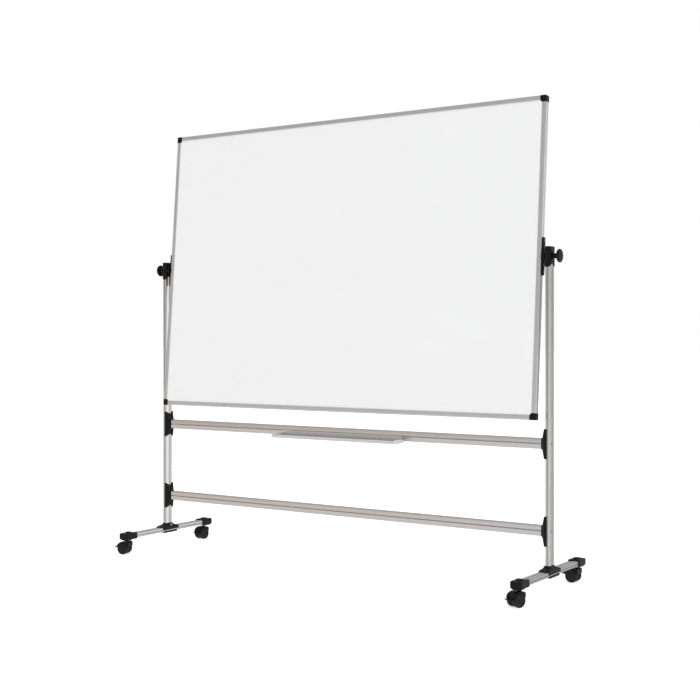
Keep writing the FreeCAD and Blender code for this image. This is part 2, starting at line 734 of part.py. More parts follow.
def caster_pins(spot, turn):
    """The axle and the pedal pin, both pressed into the housing."""
    angle = math.radians(turn)
    pins = []
    for x, z, radius, half in ((D["trail"], D["wheel_radius"], D["axle_radius"], 21.2),
                               (PEDAL_X, PEDAL_Z, D["pedal_pin"], EAR_OUTER)):
        pin = doc.addObject("Part::Cylinder", "Pin")
        bind(pin, "Radius", radius)
        bind(pin, "Height", 2 * half)
        base_x = spot[0] + x * math.cos(angle) - half * math.sin(angle)
        base_y = spot[1] + x * math.sin(angle) + half * math.cos(angle)
        place(pin, base_x, base_y, z)
        lie_down = FreeCAD.Rotation(X_AXIS, 90)
        pin.Placement.Rotation = FreeCAD.Rotation(Z_AXIS, turn) * lie_down
        pins.append(pin)
    return pins


def caster_wheel(way):
    """One wheel, +Y or -Y of the web: rounded tread, raised rim, shallow dish and a closed hub."""
    body = new_body()
    near_face, far_face = way * D["wheel_inner"], way * D["wheel_outer"]
    radius = D["wheel_radius"]
    bore = D["axle_radius"] + 0.05
    profile = [(near_face, bore), (near_face, radius - 2.4), (near_face + way * 1.2, radius - 0.7),
               (near_face + way * 3.4, radius), (far_face - way * 3.4, radius),
               (far_face - way * 1.1, radius - 0.8), (far_face, radius - 2.6), (far_face, radius - 6),
               (far_face - way * 1.6, radius - 7.2), (far_face - way * 1.6, 9),
               (far_face - way * 0.4, 7.6), (far_face - way * 0.4, 0),
               (far_face - way * 2.4, 0), (far_face - way * 2.4, bore)]
    sketch = new_sketch(body, "XY")
    outline(sketch, [(r, y) for y, r in profile])
    revolve(body, sketch, "Y")
    return body


def brake_pedal():
    """A paddle behind the wheels on a barrel between the hood's ears; it swings down to brake."""
    body = new_body()
    barrel = circle(new_sketch(body, "XZ"), PEDAL_X, PEDAL_Z, 3)
    pad(body, barrel, 2 * (EAR_INNER - 0.4))
    neck = outline(new_sketch(body, "XZ"),
                   [(PEDAL_X, PEDAL_Z - 2.6), (PEDAL_X + 7, PEDAL_Z - 1.6), (PEDAL_X + 7, PEDAL_Z + 2),
                    (PEDAL_X, PEDAL_Z + 3)])
    pad(body, neck, 2 * (EAR_INNER - 0.4))
    paddle = outline(new_sketch(body, "XZ"),
                     [(PEDAL_X + 4.6, PEDAL_Z - 2.2), (PEDAL_X + 13, PEDAL_Z - 1.4),
                      (PEDAL_X + 13, PEDAL_Z + 2), (PEDAL_X + 4.6, PEDAL_Z + 2.4)])
    pad(body, paddle, 28)
    soften(body, 4, lambda edge: along(Z_AXIS)(edge) and edge.CenterOfMass.x > PEDAL_X + 12)
    pocket(body, circle(new_sketch(body, "XZ"), PEDAL_X, PEDAL_Z, D["pedal_pin"] + 0.06), 40)
    return body


def casters():
    for end, end_name in ((FRONT, "front"), (BACK, "back")):
        for side, name in ((LEFT, "left"), (RIGHT, "right")):
            spot = (side * half_span, end * stem_line, 0)
            turn = CASTER_TURN[end_name, name]
            title = f"caster_{end_name}_{name}"
            keep(place(caster_housing(), *spot, Z_AXIS, turn), f"{title}_housing")
            for way, wheel_name in ((1, "a"), (-1, "b")):
                body = caster_wheel(way)
                keep(place_wheel(body, spot, turn), f"{title}_wheel_{wheel_name}")
            keep(place(brake_pedal(), *spot, Z_AXIS, turn), f"{title}_pedal")
            group(f"{title}_pins", caster_pins(spot, turn))


def place_wheel(body, spot, turn):
    """Moves a wheel from its own axle line to the caster's."""
    angle = math.radians(turn)
    x = spot[0] + D["trail"] * math.cos(angle)
    y = spot[1] + D["trail"] * math.sin(angle)
    return place(body, x, y, D["wheel_radius"], Z_AXIS, turn)


# ---------------------------------------------------------------------------------------------
# Board.  Its sub-parts are drawn in the board's own frame: the origin is on the pivot axis, +Z is
# up the board and -Y is the front face.
# ---------------------------------------------------------------------------------------------
def on_board(body, label):
    place(body, 0, 0, D["pivot_height"], X_AXIS, -D["tilt"])
    return keep(body, label) if label else body


def panel():
    wide = D["board_width"] - 2 * D["rail_web"]
    tall = D["board_height"] - 2 * D["rail_web"]
    core_depth = D["panel_depth"] - 2 * D["sheet_gauge"]
    core = new_body()
    pad(core, centred(new_sketch(core, "XZ"), wide, tall), core_depth)
    on_board(core, "board_core")
    for face, name in ((FRONT, "front"), (BACK, "back")):
        skin = new_body()
        plane = -face * (core_depth + D["sheet_gauge"]) / 2
        pad(skin, centred(new_sketch(skin, "XZ", plane), wide, tall), D["sheet_gauge"])
        on_board(skin, f"writing_sheet_{name}")


def frame_rail(plane, length, edge_line, outward, label):
    """A channel extrusion along one edge of the board.  plane is the sketch plane across it, and
    edge_line the distance from the pivot axis to its outer face."""
    body = new_body()
    depth = rail_depth / 2
    outer = outward * (edge_line - D["rail_relief"])
    inner = outward * (edge_line - D["rail_face"])
    web = outward * (edge_line - D["rail_web"])
    beyond = outward * (edge_line - D["rail_face"] - 3)
    slot = D["panel_depth"] / 2
    if plane == "YZ":                                      # top and bottom rails, along X
        section = rectangle(new_sketch(body, "YZ"), -depth, depth, inner, outer)
        pad(body, section, length)
        cut = rectangle(new_sketch(body, "YZ"), -slot, slot, beyond, web)
        run, position = X_AXIS, "z"
    else:                                                  # side rails, along Z
        section = rectangle(new_sketch(body, "XY"), inner, outer, -depth, depth)
        pad(body, section, length)
        cut = rectangle(new_sketch(body, "XY"), beyond, web, -slot, slot)
        run, position = Z_AXIS, "x"

    def at(target):
        return lambda edge: along(run)(edge) and near(getattr(edge.CenterOfMass, position), target)

    soften(body, 4.5, at(outer))
    pocket(body, cut, length + 2)

    def lip_edge(edge):
        return at(inner)(edge) and near(abs(edge.CenterOfMass.y), depth)

    soften(body, 1.6, lip_edge)
    if plane == "XY":
        screw_holes = new_sketch(body, "YZ", outer)
        for height in PLATE_SCREWS:
            circle(screw_holes, 0, height, PLATE_SCREW_RADIUS)
        pocket(body, screw_holes, 30)
    on_board(body, label)


def frame_rails():
    across = D["board_width"] - 2 * D["corner_leg"]
    upright = D["board_height"] - 2 * D["corner_leg"]
    frame_rail("YZ", across, half_high, 1, "frame_rail_top")
    frame_rail("YZ", across, half_high, -1, "frame_rail_bottom")
    frame_rail("XY", upright, half_board, -1, "frame_rail_left")
    frame_rail("XY", upright, half_board, 1, "frame_rail_right")


def frame_corners():
    """Moulded corners with a slot for the panel; the inner corner of each is cut off at 45 degrees."""
    corners = []
    leg, face, web = D["corner_leg"], D["rail_face"], D["rail_web"]
    for side in (LEFT, RIGHT):
        for way in (1, -1):
            body = new_body()
            x0, z0 = side * half_board, way * half_high
            points = [(x0, z0), (x0 - side * leg, z0), (x0 - side * leg, z0 - way * face),
                      (x0 - side * face, z0 - way * leg), (x0, z0 - way * leg)]
            pad(body, outline(new_sketch(body, "XZ"), points), D["board_depth"])

            def outer_corner(edge):
                middle = edge.CenterOfMass
                return along(Y_AXIS)(edge) and near(middle.x, x0) and near(middle.z, z0)

            soften(body, 5.5, outer_corner)

            def rim(edge):
                middle = edge.CenterOfMass
                on_face = near(abs(middle.y), D["board_depth"] / 2)
                outside = abs(middle.x) > number(half_board) - 6 or abs(middle.z) > number(half_high) - 6
                return on_face and outside

            soften(body, 2.5, rim)
            slot = rectangle(new_sketch(body, "XZ"), x0 - side * web, x0 - side * (leg + 4),
                             z0 - way * web, z0 - way * (leg + 4))
            pocket(body, slot, D["panel_depth"])
            corners.append(on_board(body, None))
    group("frame_corners", corners)


def pivot_plates():
    """A plate on each side rail with a round hub that turns against the post head."""
    outer_face = half_board + D["plate_thick"]
    hub_face = half_span - D["head_thin"] / 2 - D["turn_gap"]
    for side, name in ((LEFT, "left"), (RIGHT, "right")):
        body = new_body()
        plane = side * (half_board - D["rail_relief"] + outer_face) / 2
        plate = centred(new_sketch(body, "YZ", plane), D["plate_wide"], D["plate_length"])
        pad(body, plate, D["plate_thick"] + D["rail_relief"])
        soften(body, 8, along(X_AXIS))
        soften(body, 1.8, lambda edge: near(edge.CenterOfMass.x, side * outer_face))
        hub = circle(new_sketch(body, "YZ", side * (outer_face - 1 + hub_face) / 2), 0, 0, D["hub_radius"])
        pad(body, hub, hub_face - outer_face + 1)
        stud_hole = circle(new_sketch(body, "YZ", side * (half_board + 2 + hub_face + 5) / 2),
                           0, 0, D["stud_radius"])
        pocket(body, stud_hole, hub_face + 5 - half_board - 2)
        screw_holes = new_sketch(body, "YZ", side * half_board)
        for height in PLATE_SCREWS:
            circle(screw_holes, 0, height, PLATE_SCREW_RADIUS)
        pocket(body, screw_holes, 30)
        on_board(body, f"pivot_plate_{name}")


def plate_screws():
    """Pan-head screws that hold the pivot plates to the side rails."""
    screws = []
    outer_face = half_board + D["plate_thick"]
    for side in (LEFT, RIGHT):
        for height in PLATE_SCREWS:
            body = new_body()
            profile = [(half_board - D["rail_web"], 0), (half_board - D["rail_web"], 2), (outer_face, 2),
                       (outer_face, 3.8), (outer_face + 1, 3.6), (outer_face + 2, 2.4), (outer_face + 2, 0)]
            points = [(side * x, height + r) for x, r in profile]
            sketch = outline(new_sketch(body, "XZ"), points)
            feature = body.newObject("PartDesign::Revolution", "Revolution")
            feature.Profile = sketch
            feature.ReferenceAxis = (sketch, ["Edge" + str(len(points))])
            feature.Angle = 360
            doc.recompute()
            screws.append(on_board(body, None))
    group("plate_screws", screws)


def clamp_studs():
    """The studs that the board turns on, from each pivot plate through the post into its knob."""
    studs = []
    start = half_board + 2
    length = half_span + D["knob_reach"] - 4 - start
    for side in (LEFT, RIGHT):
        stud = doc.addObject("Part::Cylinder", "Stud")
        bind(stud, "Radius", D["stud_radius"])
        bind(stud, "Height", length)
        x = start if side == RIGHT else -(start + length)
        place(stud, x, 0, D["pivot_height"], Y_AXIS, 90)
        studs.append(stud)
    group("clamp_studs", studs)


def clamp_knobs():
    """Mushroom knobs on the studs; tightening one grips the board against the post."""
    start = D["head_thin"] / 2 + D["boss_height"] + 0.4
    crown, rim = D["knob_reach"], D["knob_radius"]
    bore = D["stud_radius"] + 0.05
    for side, name in ((LEFT, "left"), (RIGHT, "right")):
        body = new_body()
        profile = [(start, bore), (start, 9), (start + 13, 9.6), (start + 19, 13), (start + 21.2, rim - 3),
                   (start + 22.8, rim - 0.6), (start + 24.2, rim), (crown - 4.6, rim - 0.8),
                   (crown - 2.2, rim * 0.72), (crown - 0.6, rim * 0.4), (crown, 3), (crown, 0),
                   (crown - 3.2, 0), (crown - 3.2, bore)]
        revolve(body, outline(new_sketch(body, "XY"), profile), "X")
        turn = 0 if side == RIGHT else 180
        keep(place(body, side * half_span, 0, D["pivot_height"], Z_AXIS, turn), f"clamp_knob_{name}")


# ---------------------------------------------------------------------------------------------
# Pen tray
# ---------------------------------------------------------------------------------------------
def pen_tray():
    """A channel that hangs from the upper bar's front groove and can be slid along it: a lip in
    the groove, a flange down the bar's face, a tongue under the bar, a floor and a front lip."""
    gauge, gap = D["tray_gauge"], 0.4
    face = -half_thin - gap                                # flange's back, clear of the bar
    floor = D["tray_floor"]
    front = -D["tray_reach"]
    groove = D["upper_bar"]
    bar_bottom = D["upper_bar"] - half_wide
    section = [(-half_thin + 1, groove - 0.8), (-half_thin + 1, groove + 0.8), (face - gauge, groove + 0.8),
               (face - gauge, floor), (front + gauge + 3, floor), (front + gauge, floor + 3),
               (front + gauge, D["tray_lip"]), (front, D["tray_lip"]), (front, floor - gauge - 2),
               (front + 1.4, floor - gauge - 3.4), (front + 5, floor - gauge),
               (-half_thin + 8, floor - gauge), (-half_thin + 8, bar_bottom - 0.6), (face, bar_bottom - 0.6),
               (face, groove - 0.8)]
    length = D["tray_length"] - 2 * D["tray_cap"]
    body = new_body()
    pad(body, outline(new_sketch(body, "YZ"), section), length)
    keep(place(body, D["tray_offset"], 0, 0), "pen_tray")

    caps = []
    for side in (LEFT, RIGHT):
        cap = new_body()
        block = rectangle(new_sketch(cap, "YZ"), front, face, floor - gauge - 3.4, D["tray_lip"] + 2)
        pad(cap, block, D["tray_cap"])
        end_face = side * D["tray_cap"] / 2

        soften(cap, 6, lambda edge: along(X_AXIS)(edge) and edge.CenterOfMass.y < -60)
        soften(cap, 2.5, lambda edge: near(edge.CenterOfMass.x, end_face))
        middle = D["tray_offset"] + side * (length + D["tray_cap"]) / 2
        caps.append(place(cap, middle, 0, 0))
    group("tray_end_caps", caps)


# ---------------------------------------------------------------------------------------------
# Build, check and write
# ---------------------------------------------------------------------------------------------
def check_document():
    doc.recompute()
    for thing in doc.Objects:
        if "Invalid" in thing.State or "Error" in thing.State:
            raise ValueError(f"{thing.Name} ({thing.Label}) failed: {thing.State}")
    labels = [node.Label for node in nodes]
    if len(set(labels)) != len(labels):
        raise ValueError("two sub-parts share a label")
    for node in nodes:
        shape = node.Shape
        if shape.isNull() or not shape.isValid() or not shape.Solids:
            raise ValueError(f"{node.Label} has no valid solid")


def write_parts():
    os.makedirs("parts", exist_ok=True)
    for node in nodes:
        node.Shape.exportStep(f"parts/{node.Label}.step")


posts()
post_heads()
crossbars()
crossbar_joints()
crossbar_bolts()
foot_rails()
foot_saddles()
saddle_screws()
foot_clamps()
foot_bolts()
foot_caps()
caster_stems()
casters()
panel()
frame_rails()
frame_corners()
pivot_plates()
plate_screws()
clamp_studs()
clamp_knobs()
pen_tray()
check_document()
write_parts()
print(f"{len(nodes)} sub-parts written")
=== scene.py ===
import json
import math

import bmesh
import bpy
from mathutils import Matrix, Vector


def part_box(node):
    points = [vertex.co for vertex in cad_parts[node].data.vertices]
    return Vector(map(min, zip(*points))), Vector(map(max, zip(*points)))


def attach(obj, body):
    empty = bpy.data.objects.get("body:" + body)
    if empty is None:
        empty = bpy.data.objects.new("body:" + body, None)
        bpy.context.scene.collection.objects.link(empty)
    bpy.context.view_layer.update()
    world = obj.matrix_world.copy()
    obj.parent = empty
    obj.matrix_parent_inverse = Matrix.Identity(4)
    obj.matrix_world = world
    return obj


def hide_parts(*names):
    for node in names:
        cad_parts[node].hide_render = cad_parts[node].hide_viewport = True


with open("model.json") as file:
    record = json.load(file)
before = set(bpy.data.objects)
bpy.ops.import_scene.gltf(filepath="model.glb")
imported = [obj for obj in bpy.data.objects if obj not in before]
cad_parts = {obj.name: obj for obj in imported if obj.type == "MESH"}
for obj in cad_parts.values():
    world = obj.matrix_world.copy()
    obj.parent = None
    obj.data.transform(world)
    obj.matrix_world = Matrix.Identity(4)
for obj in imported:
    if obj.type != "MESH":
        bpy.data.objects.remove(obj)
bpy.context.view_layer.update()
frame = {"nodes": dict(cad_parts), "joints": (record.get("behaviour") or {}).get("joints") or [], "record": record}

# Looks of the rolling whiteboard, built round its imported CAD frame.  Metres, +Z up, -Y is the front.
MM = 0.001
LEFT, RIGHT = -1, 1
SIDES = ((LEFT, "left"), (RIGHT, "right"))
ENDS = ((-1, "front"), (1, "back"))
LEVELS = ("upper", "lower")
Y, Z = Vector((0, 1, 0)), Vector((0, 0, 1))
SLOTS = {part["node"]: part["material_slot"] for part in frame["record"]["subparts"]}
JOINTS = {joint["name"]: joint for joint in frame["joints"]}
BOARD_TILT = math.radians(4.6)


# ---------------------------------------------------------------------------------------------
# Materials
# ---------------------------------------------------------------------------------------------
class Graph:
    """A material's node tree, with short ways to add and join its nodes."""

    def __init__(self, name):
        self.material = bpy.data.materials.new(name)
        self.material.use_nodes = True
        self.nodes = self.material.node_tree.nodes
        self.links = self.material.node_tree.links
        self.shader = self.nodes["Principled BSDF"]

    def add(self, kind, inputs, **settings):
        """Adds a node; inputs maps socket names or numbers to values or to other sockets."""
        node = self.nodes.new(kind)
        for key, value in settings.items():
            setattr(node, key, value)
        self.join(node, inputs)
        return node

    def join(self, node, inputs):
        for key, value in inputs.items():
            if isinstance(value, bpy.types.NodeSocket):
                self.links.new(value, node.inputs[key])
            else:
                node.inputs[key].default_value = value

    def surface(self, **values):
        """Sets the shader's own sockets: Base_Color=..., Roughness=... and so on."""
        self.join(self.shader, {key.replace("_", " "): value for key, value in values.items()})
        return self.material

    def place(self, stretch=(1, 1, 1), turn=(0, 0, 0)):
        """Object coordinates turned back by turn, then multiplied by stretch."""
        source = self.add("ShaderNodeTexCoord", {}).outputs["Object"]
        shrink = tuple(1 / factor for factor in stretch)
        inputs = {"Vector": source, "Rotation": turn, "Scale": shrink}
        return self.add("ShaderNodeMapping", inputs, vector_type="TEXTURE").outputs[0]

    def noise(self, vector, scale, detail=3.0, roughness=0.55):
        inputs = {"Vector": vector, "Scale": scale, "Detail": detail, "Roughness": roughness}
        return self.add("ShaderNodeTexNoise", inputs).outputs["Fac"]

    def between(self, value, low, high, start=0.3, stop=0.7):
        """Maps the span from start to stop, at first a noise value's usual one, to low...high."""
        inputs = {"Value": value, "From Min": start, "From Max": stop, "To Min": low, "To Max": high}
        return self.add("ShaderNodeMapRange", inputs).outputs[0]

    def blend(self, factor, first, second):
        """Mixes two colours, each a triple or the output of another node."""
        first, second = (value if hasattr(value, "node") else (*value, 1) for value in (first, second))
        inputs = {0: factor, 6: first, 7: second}
        return self.add("ShaderNodeMix", inputs, data_type="RGBA").outputs[2]

    def combine(self, operation, first, second):
        return self.add("ShaderNodeMath", {0: first, 1: second}, operation=operation).outputs[0]

    def shelter(self, distance):
        """1 where the piece lies open, falling to 0 in its own hollows."""
        inputs = {"Distance": distance}
        return self.add("ShaderNodeAmbientOcclusion", inputs, samples=6, only_local=True).outputs["AO"]

    def bump(self, height, distance, under=None):
        inputs = {"Height": height, "Distance": distance}
        if under is not None:
            inputs["Normal"] = under
        return self.add("ShaderNodeBump", inputs).outputs[0]


# Anodised aluminium: its two tones and the painted shade in its grooves.
METAL_DARK, METAL_LIGHT, METAL_GROOVE_SHADE = (0.57, 0.565, 0.56), (0.67, 0.665, 0.655), (0.18, 0.175, 0.17)
# Paler copy of the aluminium for the board frame's rails: its tones are painted lighter to stand in for the
# brighter light on the board frame.
RAIL_TONES = (0.68, 0.69, 0.70), (0.79, 0.80, 0.81)
TRAY_TONES = (0.66, 0.66, 0.655), (0.76, 0.755, 0.745)
METAL_GLAZE, RAIL_GLAZE, TRAY_GLAZE = (0.17, 0.24), (0.32, 0.40), (0.34, 0.42)
# Painted shade in hollows, for the extrusions' grooves and the tray's creases: how far off a wall counts, and the
# shelter values of full painted shade and of none.
GROOVE_SHADING, CREASE_SHADING = (0.004, 0.5, 0.92), (0.010, 0.56, 0.75)
# Die lines: noise cells per metre along the extrusion and across it, and how deep the lines are.
LINES_ALONG, LINES_ACROSS, LINE_DEPTH = 4, 1900, 0.000013
BAND_WIDTH = 0.12               # the bands' cells per metre, as a share of the lines'
MARK_DEPTH = 0.000005

BLACK_TONES = (0.002, 0.002, 0.0024), (0.009, 0.009, 0.01)
GREY_TONES = (0.66, 0.66, 0.655), (0.76, 0.76, 0.755)
NYLON_TONES = (0.004, 0.004, 0.005), (0.03, 0.029, 0.028)
ZINC_TONES = (0.44, 0.445, 0.45), (0.68, 0.67, 0.64)
CHIP_TONES = (0.19, 0.13, 0.08), (0.42, 0.32, 0.21)
ENAMEL_TONES = (0.86, 0.865, 0.87), (0.835, 0.84, 0.845)     # clean, then hazed


def drawn_aluminium(name, run, tilt=0.0, tones=(METAL_DARK, METAL_LIGHT), glaze=METAL_GLAZE, metallic=1.0,
                    hollow=GROOVE_SHADING):
    """Clear-anodised extrusion: fine die lines along its run, faint clouding, a few handling marks,
    and painted shade darkening its grooves."""
    graph = Graph(name)
    stretch = tuple(LINES_ALONG if axis == run else LINES_ACROSS for axis in "xyz")
    lines = graph.noise(graph.place(stretch, (-tilt, 0, 0)), 1.0, detail=2.0)
    bands = graph.noise(graph.place(tuple(s * BAND_WIDTH for s in stretch), (-tilt, 0, 0)), 1.0, detail=2.0)
    cloud = graph.noise(graph.place(), 9.0, detail=4.0)
    marks = graph.noise(graph.place(), 230.0, detail=5.0, roughness=0.7)
    tone = graph.combine("ADD", graph.between(lines, 0.0, 0.45), graph.between(bands, 0.0, 0.35))
    tone = graph.combine("ADD", tone, graph.between(cloud, 0.0, 0.2))
    rough = graph.combine("ADD", graph.between(cloud, *glaze), graph.between(lines, -0.03, 0.05))
    rough = graph.combine("ADD", rough, graph.between(marks, 0.0, 0.1, start=0.62, stop=0.8))
    normal = graph.bump(lines, LINE_DEPTH)
    normal = graph.bump(marks, MARK_DEPTH, under=normal)
    # Painted shade: the colour goes towards a near-black grey where the piece's own walls close in over it, varied
    # a little by the handling-mark noise.
    reach, closed, open_air = hollow
    shut_in = graph.between(graph.shelter(reach), 1.0, 0.0, closed, open_air)
    painted_shade = graph.combine("MULTIPLY", shut_in, graph.between(marks, 1.0, 0.8))
    colour = graph.blend(painted_shade, graph.blend(tone, *tones), METAL_GROOVE_SHADE)
    return graph.surface(Base_Color=colour, Metallic=metallic, Roughness=rough, Normal=normal,
                         Anisotropic=0.35)


def enamel(name):
    """Gloss white writing enamel: a slight waviness, and faint haze where the eraser has passed."""
    graph = Graph(name)
    wiped = graph.noise(graph.place((0.7, 1, 2.2), (0, 0.35, 0)), 3.0, detail=5.0, roughness=0.6)
    haze = graph.noise(graph.place((1, 1, 6), (0, -0.5, 0)), 7.0)
    specks = graph.noise(graph.place(), 900.0, detail=2.0)
    waves = graph.noise(graph.place(), 60.0, detail=2.0)
    tone = graph.combine("MULTIPLY", graph.between(wiped, 0.0, 1.0), graph.between(haze, 0.4, 1.0))
    rough = graph.combine("ADD", graph.between(wiped, 0.10, 0.19), graph.between(haze, 0.0, 0.05))
    normal = graph.bump(waves, 0.00008)
    normal = graph.bump(specks, 0.000006, under=normal)
    return graph.surface(Base_Color=graph.blend(tone, *ENAMEL_TONES), Roughness=rough, Normal=normal,
                         Coat_Weight=0.4, Coat_Roughness=0.08)


def moulded(name, tones, grain, rough, shine):
    """Injection-moulded plastic: spark-eroded grain, faint flow marks, paler rubbed edges."""
    graph = Graph(name)
    pits = graph.noise(graph.place(), grain, detail=2.0, roughness=0.6)
    flow = graph.noise(graph.place((1, 1, 2.5)), 35.0, detail=4.0)
    dust = graph.noise(graph.place(), 320.0, detail=5.0, roughness=0.75)
    edges = graph.add("ShaderNodeNewGeometry", {}).outputs["Pointiness"]
    rubbed = graph.combine("MULTIPLY", graph.between(edges, 0.0, 0.8, start=0.53, stop=0.62),
                           graph.between(dust, 0.2, 1.0, start=0.35, stop=0.65))
    dusty = graph.between(dust, 0.0, 0.25, start=0.55, stop=0.8)
    tone = graph.combine("ADD", graph.between(flow, 0.0, 0.45), dusty)
    tone = graph.combine("ADD", tone, rubbed)
    worn = graph.between(edges, 0.0, 0.1, start=0.52, stop=0.6)
    glaze = graph.combine("SUBTRACT", graph.between(flow, *rough), worn)
    return graph.surface(Base_Color=graph.blend(tone, *tones), Roughness=glaze,
                         Normal=graph.bump(pits, 0.00003), Specular_IOR_Level=shine)


def wheel_nylon(name):
    """Hard wheel nylon: semi-matt, with scuffs and with dust picked up from the floor."""
    graph = Graph(name)
    scuffs = graph.noise(graph.place((3, 3, 1)), 160.0, detail=5.0, roughness=0.7)
    dust = graph.noise(graph.place(), 55.0, detail=5.0, roughness=0.65)
    height = graph.add("ShaderNodeSeparateXYZ", {0: graph.place()}).outputs[2]
    settled = graph.combine("MULTIPLY", graph.between(dust, 0.0, 0.5),
                            graph.between(height, 1.0, 0.25, start=0.0, stop=0.04))
    tone = graph.combine("ADD", settled, graph.between(scuffs, 0.0, 0.35, start=0.5, stop=0.75))
    rough = graph.combine("ADD", graph.between(dust, 0.38, 0.5), graph.between(scuffs, 0.0, 0.12))
    return graph.surface(Base_Color=graph.blend(tone, *NYLON_TONES), Roughness=rough,
                         Normal=graph.bump(scuffs, 0.00003), Specular_IOR_Level=0.25)


def zinc_plate(name):
    """Bright zinc-plated steel: soft spangle, darker in its pits."""
    graph = Graph(name)
    spangle = graph.noise(graph.place(), 420.0, detail=4.0, roughness=0.7)
    lathe_marks = graph.noise(graph.place(), 2600.0, detail=2.0)
    tone = graph.between(spangle, 0.0, 1.0)
    rough = graph.combine("ADD", graph.between(spangle, 0.2, 0.36), graph.between(lathe_marks, 0.0, 0.06))
    return graph.surface(Base_Color=graph.blend(tone, *ZINC_TONES), Metallic=1.0, Roughness=rough,
                         Normal=graph.bump(lathe_marks, 0.00001))


def particle_board(name):
    """The board's core: pressed chips, seen only where a sheet ends."""
    graph = Graph(name)
    chips = graph.noise(graph.place((1, 2, 1)), 260.0, detail=4.0, roughness=0.7)
    patches = graph.noise(graph.place(), 40.0)
    tone = graph.combine("ADD", graph.between(chips, 0.0, 0.7), graph.between(patches, 0.0, 0.3))
    return graph.surface(Base_Color=graph.blend(tone, *CHIP_TONES),
                         Roughness=graph.between(chips, 0.7, 0.9), Normal=graph.bump(chips, 0.0002))


METAL = {"upright": drawn_aluminium("aluminium_upright", "z"),
         "across": drawn_aluminium("aluminium_across", "x"),
         "foot": drawn_aluminium("aluminium_foot", "y"),
         "board_side": drawn_aluminium("aluminium_board_side", "z", BOARD_TILT, RAIL_TONES, RAIL_GLAZE),
         "board_edge": drawn_aluminium("aluminium_board_edge", "x", 0.0, RAIL_TONES, RAIL_GLAZE),
         # The tray gets painted shade in its creases too, reaching further from each wall.
         "tray": drawn_aluminium("aluminium_tray", "x", 0.0, TRAY_TONES, TRAY_GLAZE, metallic=0.8,
                                 hollow=CREASE_SHADING)}
FINISH = {"enamel_sheet": enamel("white_enamel"),
          "black_plastic": moulded("black_plastic", BLACK_TONES, 1500.0, rough=(0.30, 0.42), shine=0.18),
          "grey_plastic": moulded("grey_plastic", GREY_TONES, 1100.0, rough=(0.36, 0.46), shine=0.4),
          "wheel_plastic": wheel_nylon("wheel_nylon"),
          "zinc_steel": zinc_plate("zinc_steel"),
          "core_board": particle_board("particle_board")}


def finish_of(node):
    """The material of a CAD node, by its slot; the extrusions differ in the way they were drawn."""
    if SLOTS[node] != "aluminium_extrusion":
        return FINISH[SLOTS[node]]
    if node.startswith("post"):
        return METAL["upright"]
    if node.startswith("foot"):
        return METAL["foot"]
    if node == "pen_tray":
        return METAL["tray"]
    if node in ("frame_rail_left", "frame_rail_right"):
        return METAL["board_side"]
    return METAL["board_edge" if node.startswith("frame_rail") else "across"]


def dress_cad_nodes():
    for name, node in frame["nodes"].items():
        node.data.materials.clear()
        node.data.materials.append(finish_of(name))


# ---------------------------------------------------------------------------------------------
# Mesh tools.  Shapes are drawn in millimetres about axes of their own; put() scales and places them.
# ---------------------------------------------------------------------------------------------
FRONT_VIEW = Matrix.Rotation(math.radians(90), 4, "X")     # drawn (x, y) stands as (x, z)
SIDE_VIEW = Matrix(((0, 0, 1, 0), (1, 0, 0, 0), (0, 1, 0, 0), (0, 0, 0, 1)))   # ... as (y, z)
WELD = 0.001                    # points closer than this, in millimetres, become one


def arc(middle, radius, start, stop, steps=8):
    """Points on a circle from start to stop, in degrees."""
    angles = [math.radians(start + (stop - start) * step / steps) for step in range(steps + 1)]
    return [(middle[0] + radius * math.cos(a), middle[1] + radius * math.sin(a)) for a in angles]


def disc(middle, radius, points):
    """A whole circle, its first point not repeated."""
    return arc(middle, radius, 0, 360 - 360 / points, points - 1)


def rounded(wide, deep, radius, steps=6, flats=4, middle=(0, 0)):
    """A rounded rectangle, anticlockwise, with extra points along its straight sides."""
    bends = []
    for quarter, (right, up) in enumerate(((1, 1), (-1, 1), (-1, -1), (1, -1))):
        corner = (middle[0] + right * (wide / 2 - radius), middle[1] + up * (deep / 2 - radius))
        bends.append(arc(corner, radius, 90 * quarter, 90 * quarter + 90, steps))
    outline = []
    for bend, following in zip(bends, bends[1:] + bends[:1]):
        start, stop = Vector(bend[-1]), Vector(following[0])
        outline += bend
        outline += [tuple(start.lerp(stop, step / (flats + 1))) for step in range(1, flats + 1)]
    return outline


def level(outline, height):
    """Lifts an outline to a height, which may be a function of the point."""
    return [Vector((x, y, height(x, y) if callable(height) else height)) for x, y in outline]


def skin(rings, looped=False):
    """A closed mesh through a stack of rings with the same number of points."""
    shape = bmesh.new()
    loops = [[shape.verts.new(point) for point in ring] for ring in rings]
    for below, above in zip(loops, loops[1:] + loops[:1] if looped else loops[1:]):
        for first in range(len(below)):
            second = (first + 1) % len(below)
            shape.faces.new((below[first], below[second], above[second], above[first]))
    if not looped:
        shape.faces.new(loops[0][::-1])
        shape.faces.new(loops[-1])
    return shape


def prism(outline, low, high, view=None):
    """An outline drawn from low to high, along Z or, stood up by a view, along another axis."""
    shape = skin([level(outline, low), level(outline, high)])
    if view:
        shape.transform(view)
    return shape


def lathe(profile, segments=64, lobes=None, bored=False):
    """Turns (radius, height) pairs round Z.  lobes(radius, angle) may pull a point in or out."""
    rings = []
    for radius, height in profile:
        ring = []
        for step in range(segments):
            angle = 2 * math.pi * step / segments
            reach = lobes(radius, angle) if lobes else radius
            ring.append(Vector((reach * math.cos(angle), reach * math.sin(angle), height)))
        rings.append(ring)
    return skin(rings, bored)


def turned(shape, axis, degrees=90):
    shape.transform(Matrix.Rotation(math.radians(degrees), 4, axis))
    return shape


def moved(shape, x=0, y=0, z=0):
    shape.transform(Matrix.Translation((x, y, z)))
    return shape


def joined(*shapes):
    """Puts shapes into one mesh as they are."""
    whole = bmesh.new()
    for shape in shapes:
        part = bpy.data.meshes.new("part")
        shape.to_mesh(part)
        whole.from_mesh(part)
        bpy.data.meshes.remove(part)
        shape.free()
    return whole


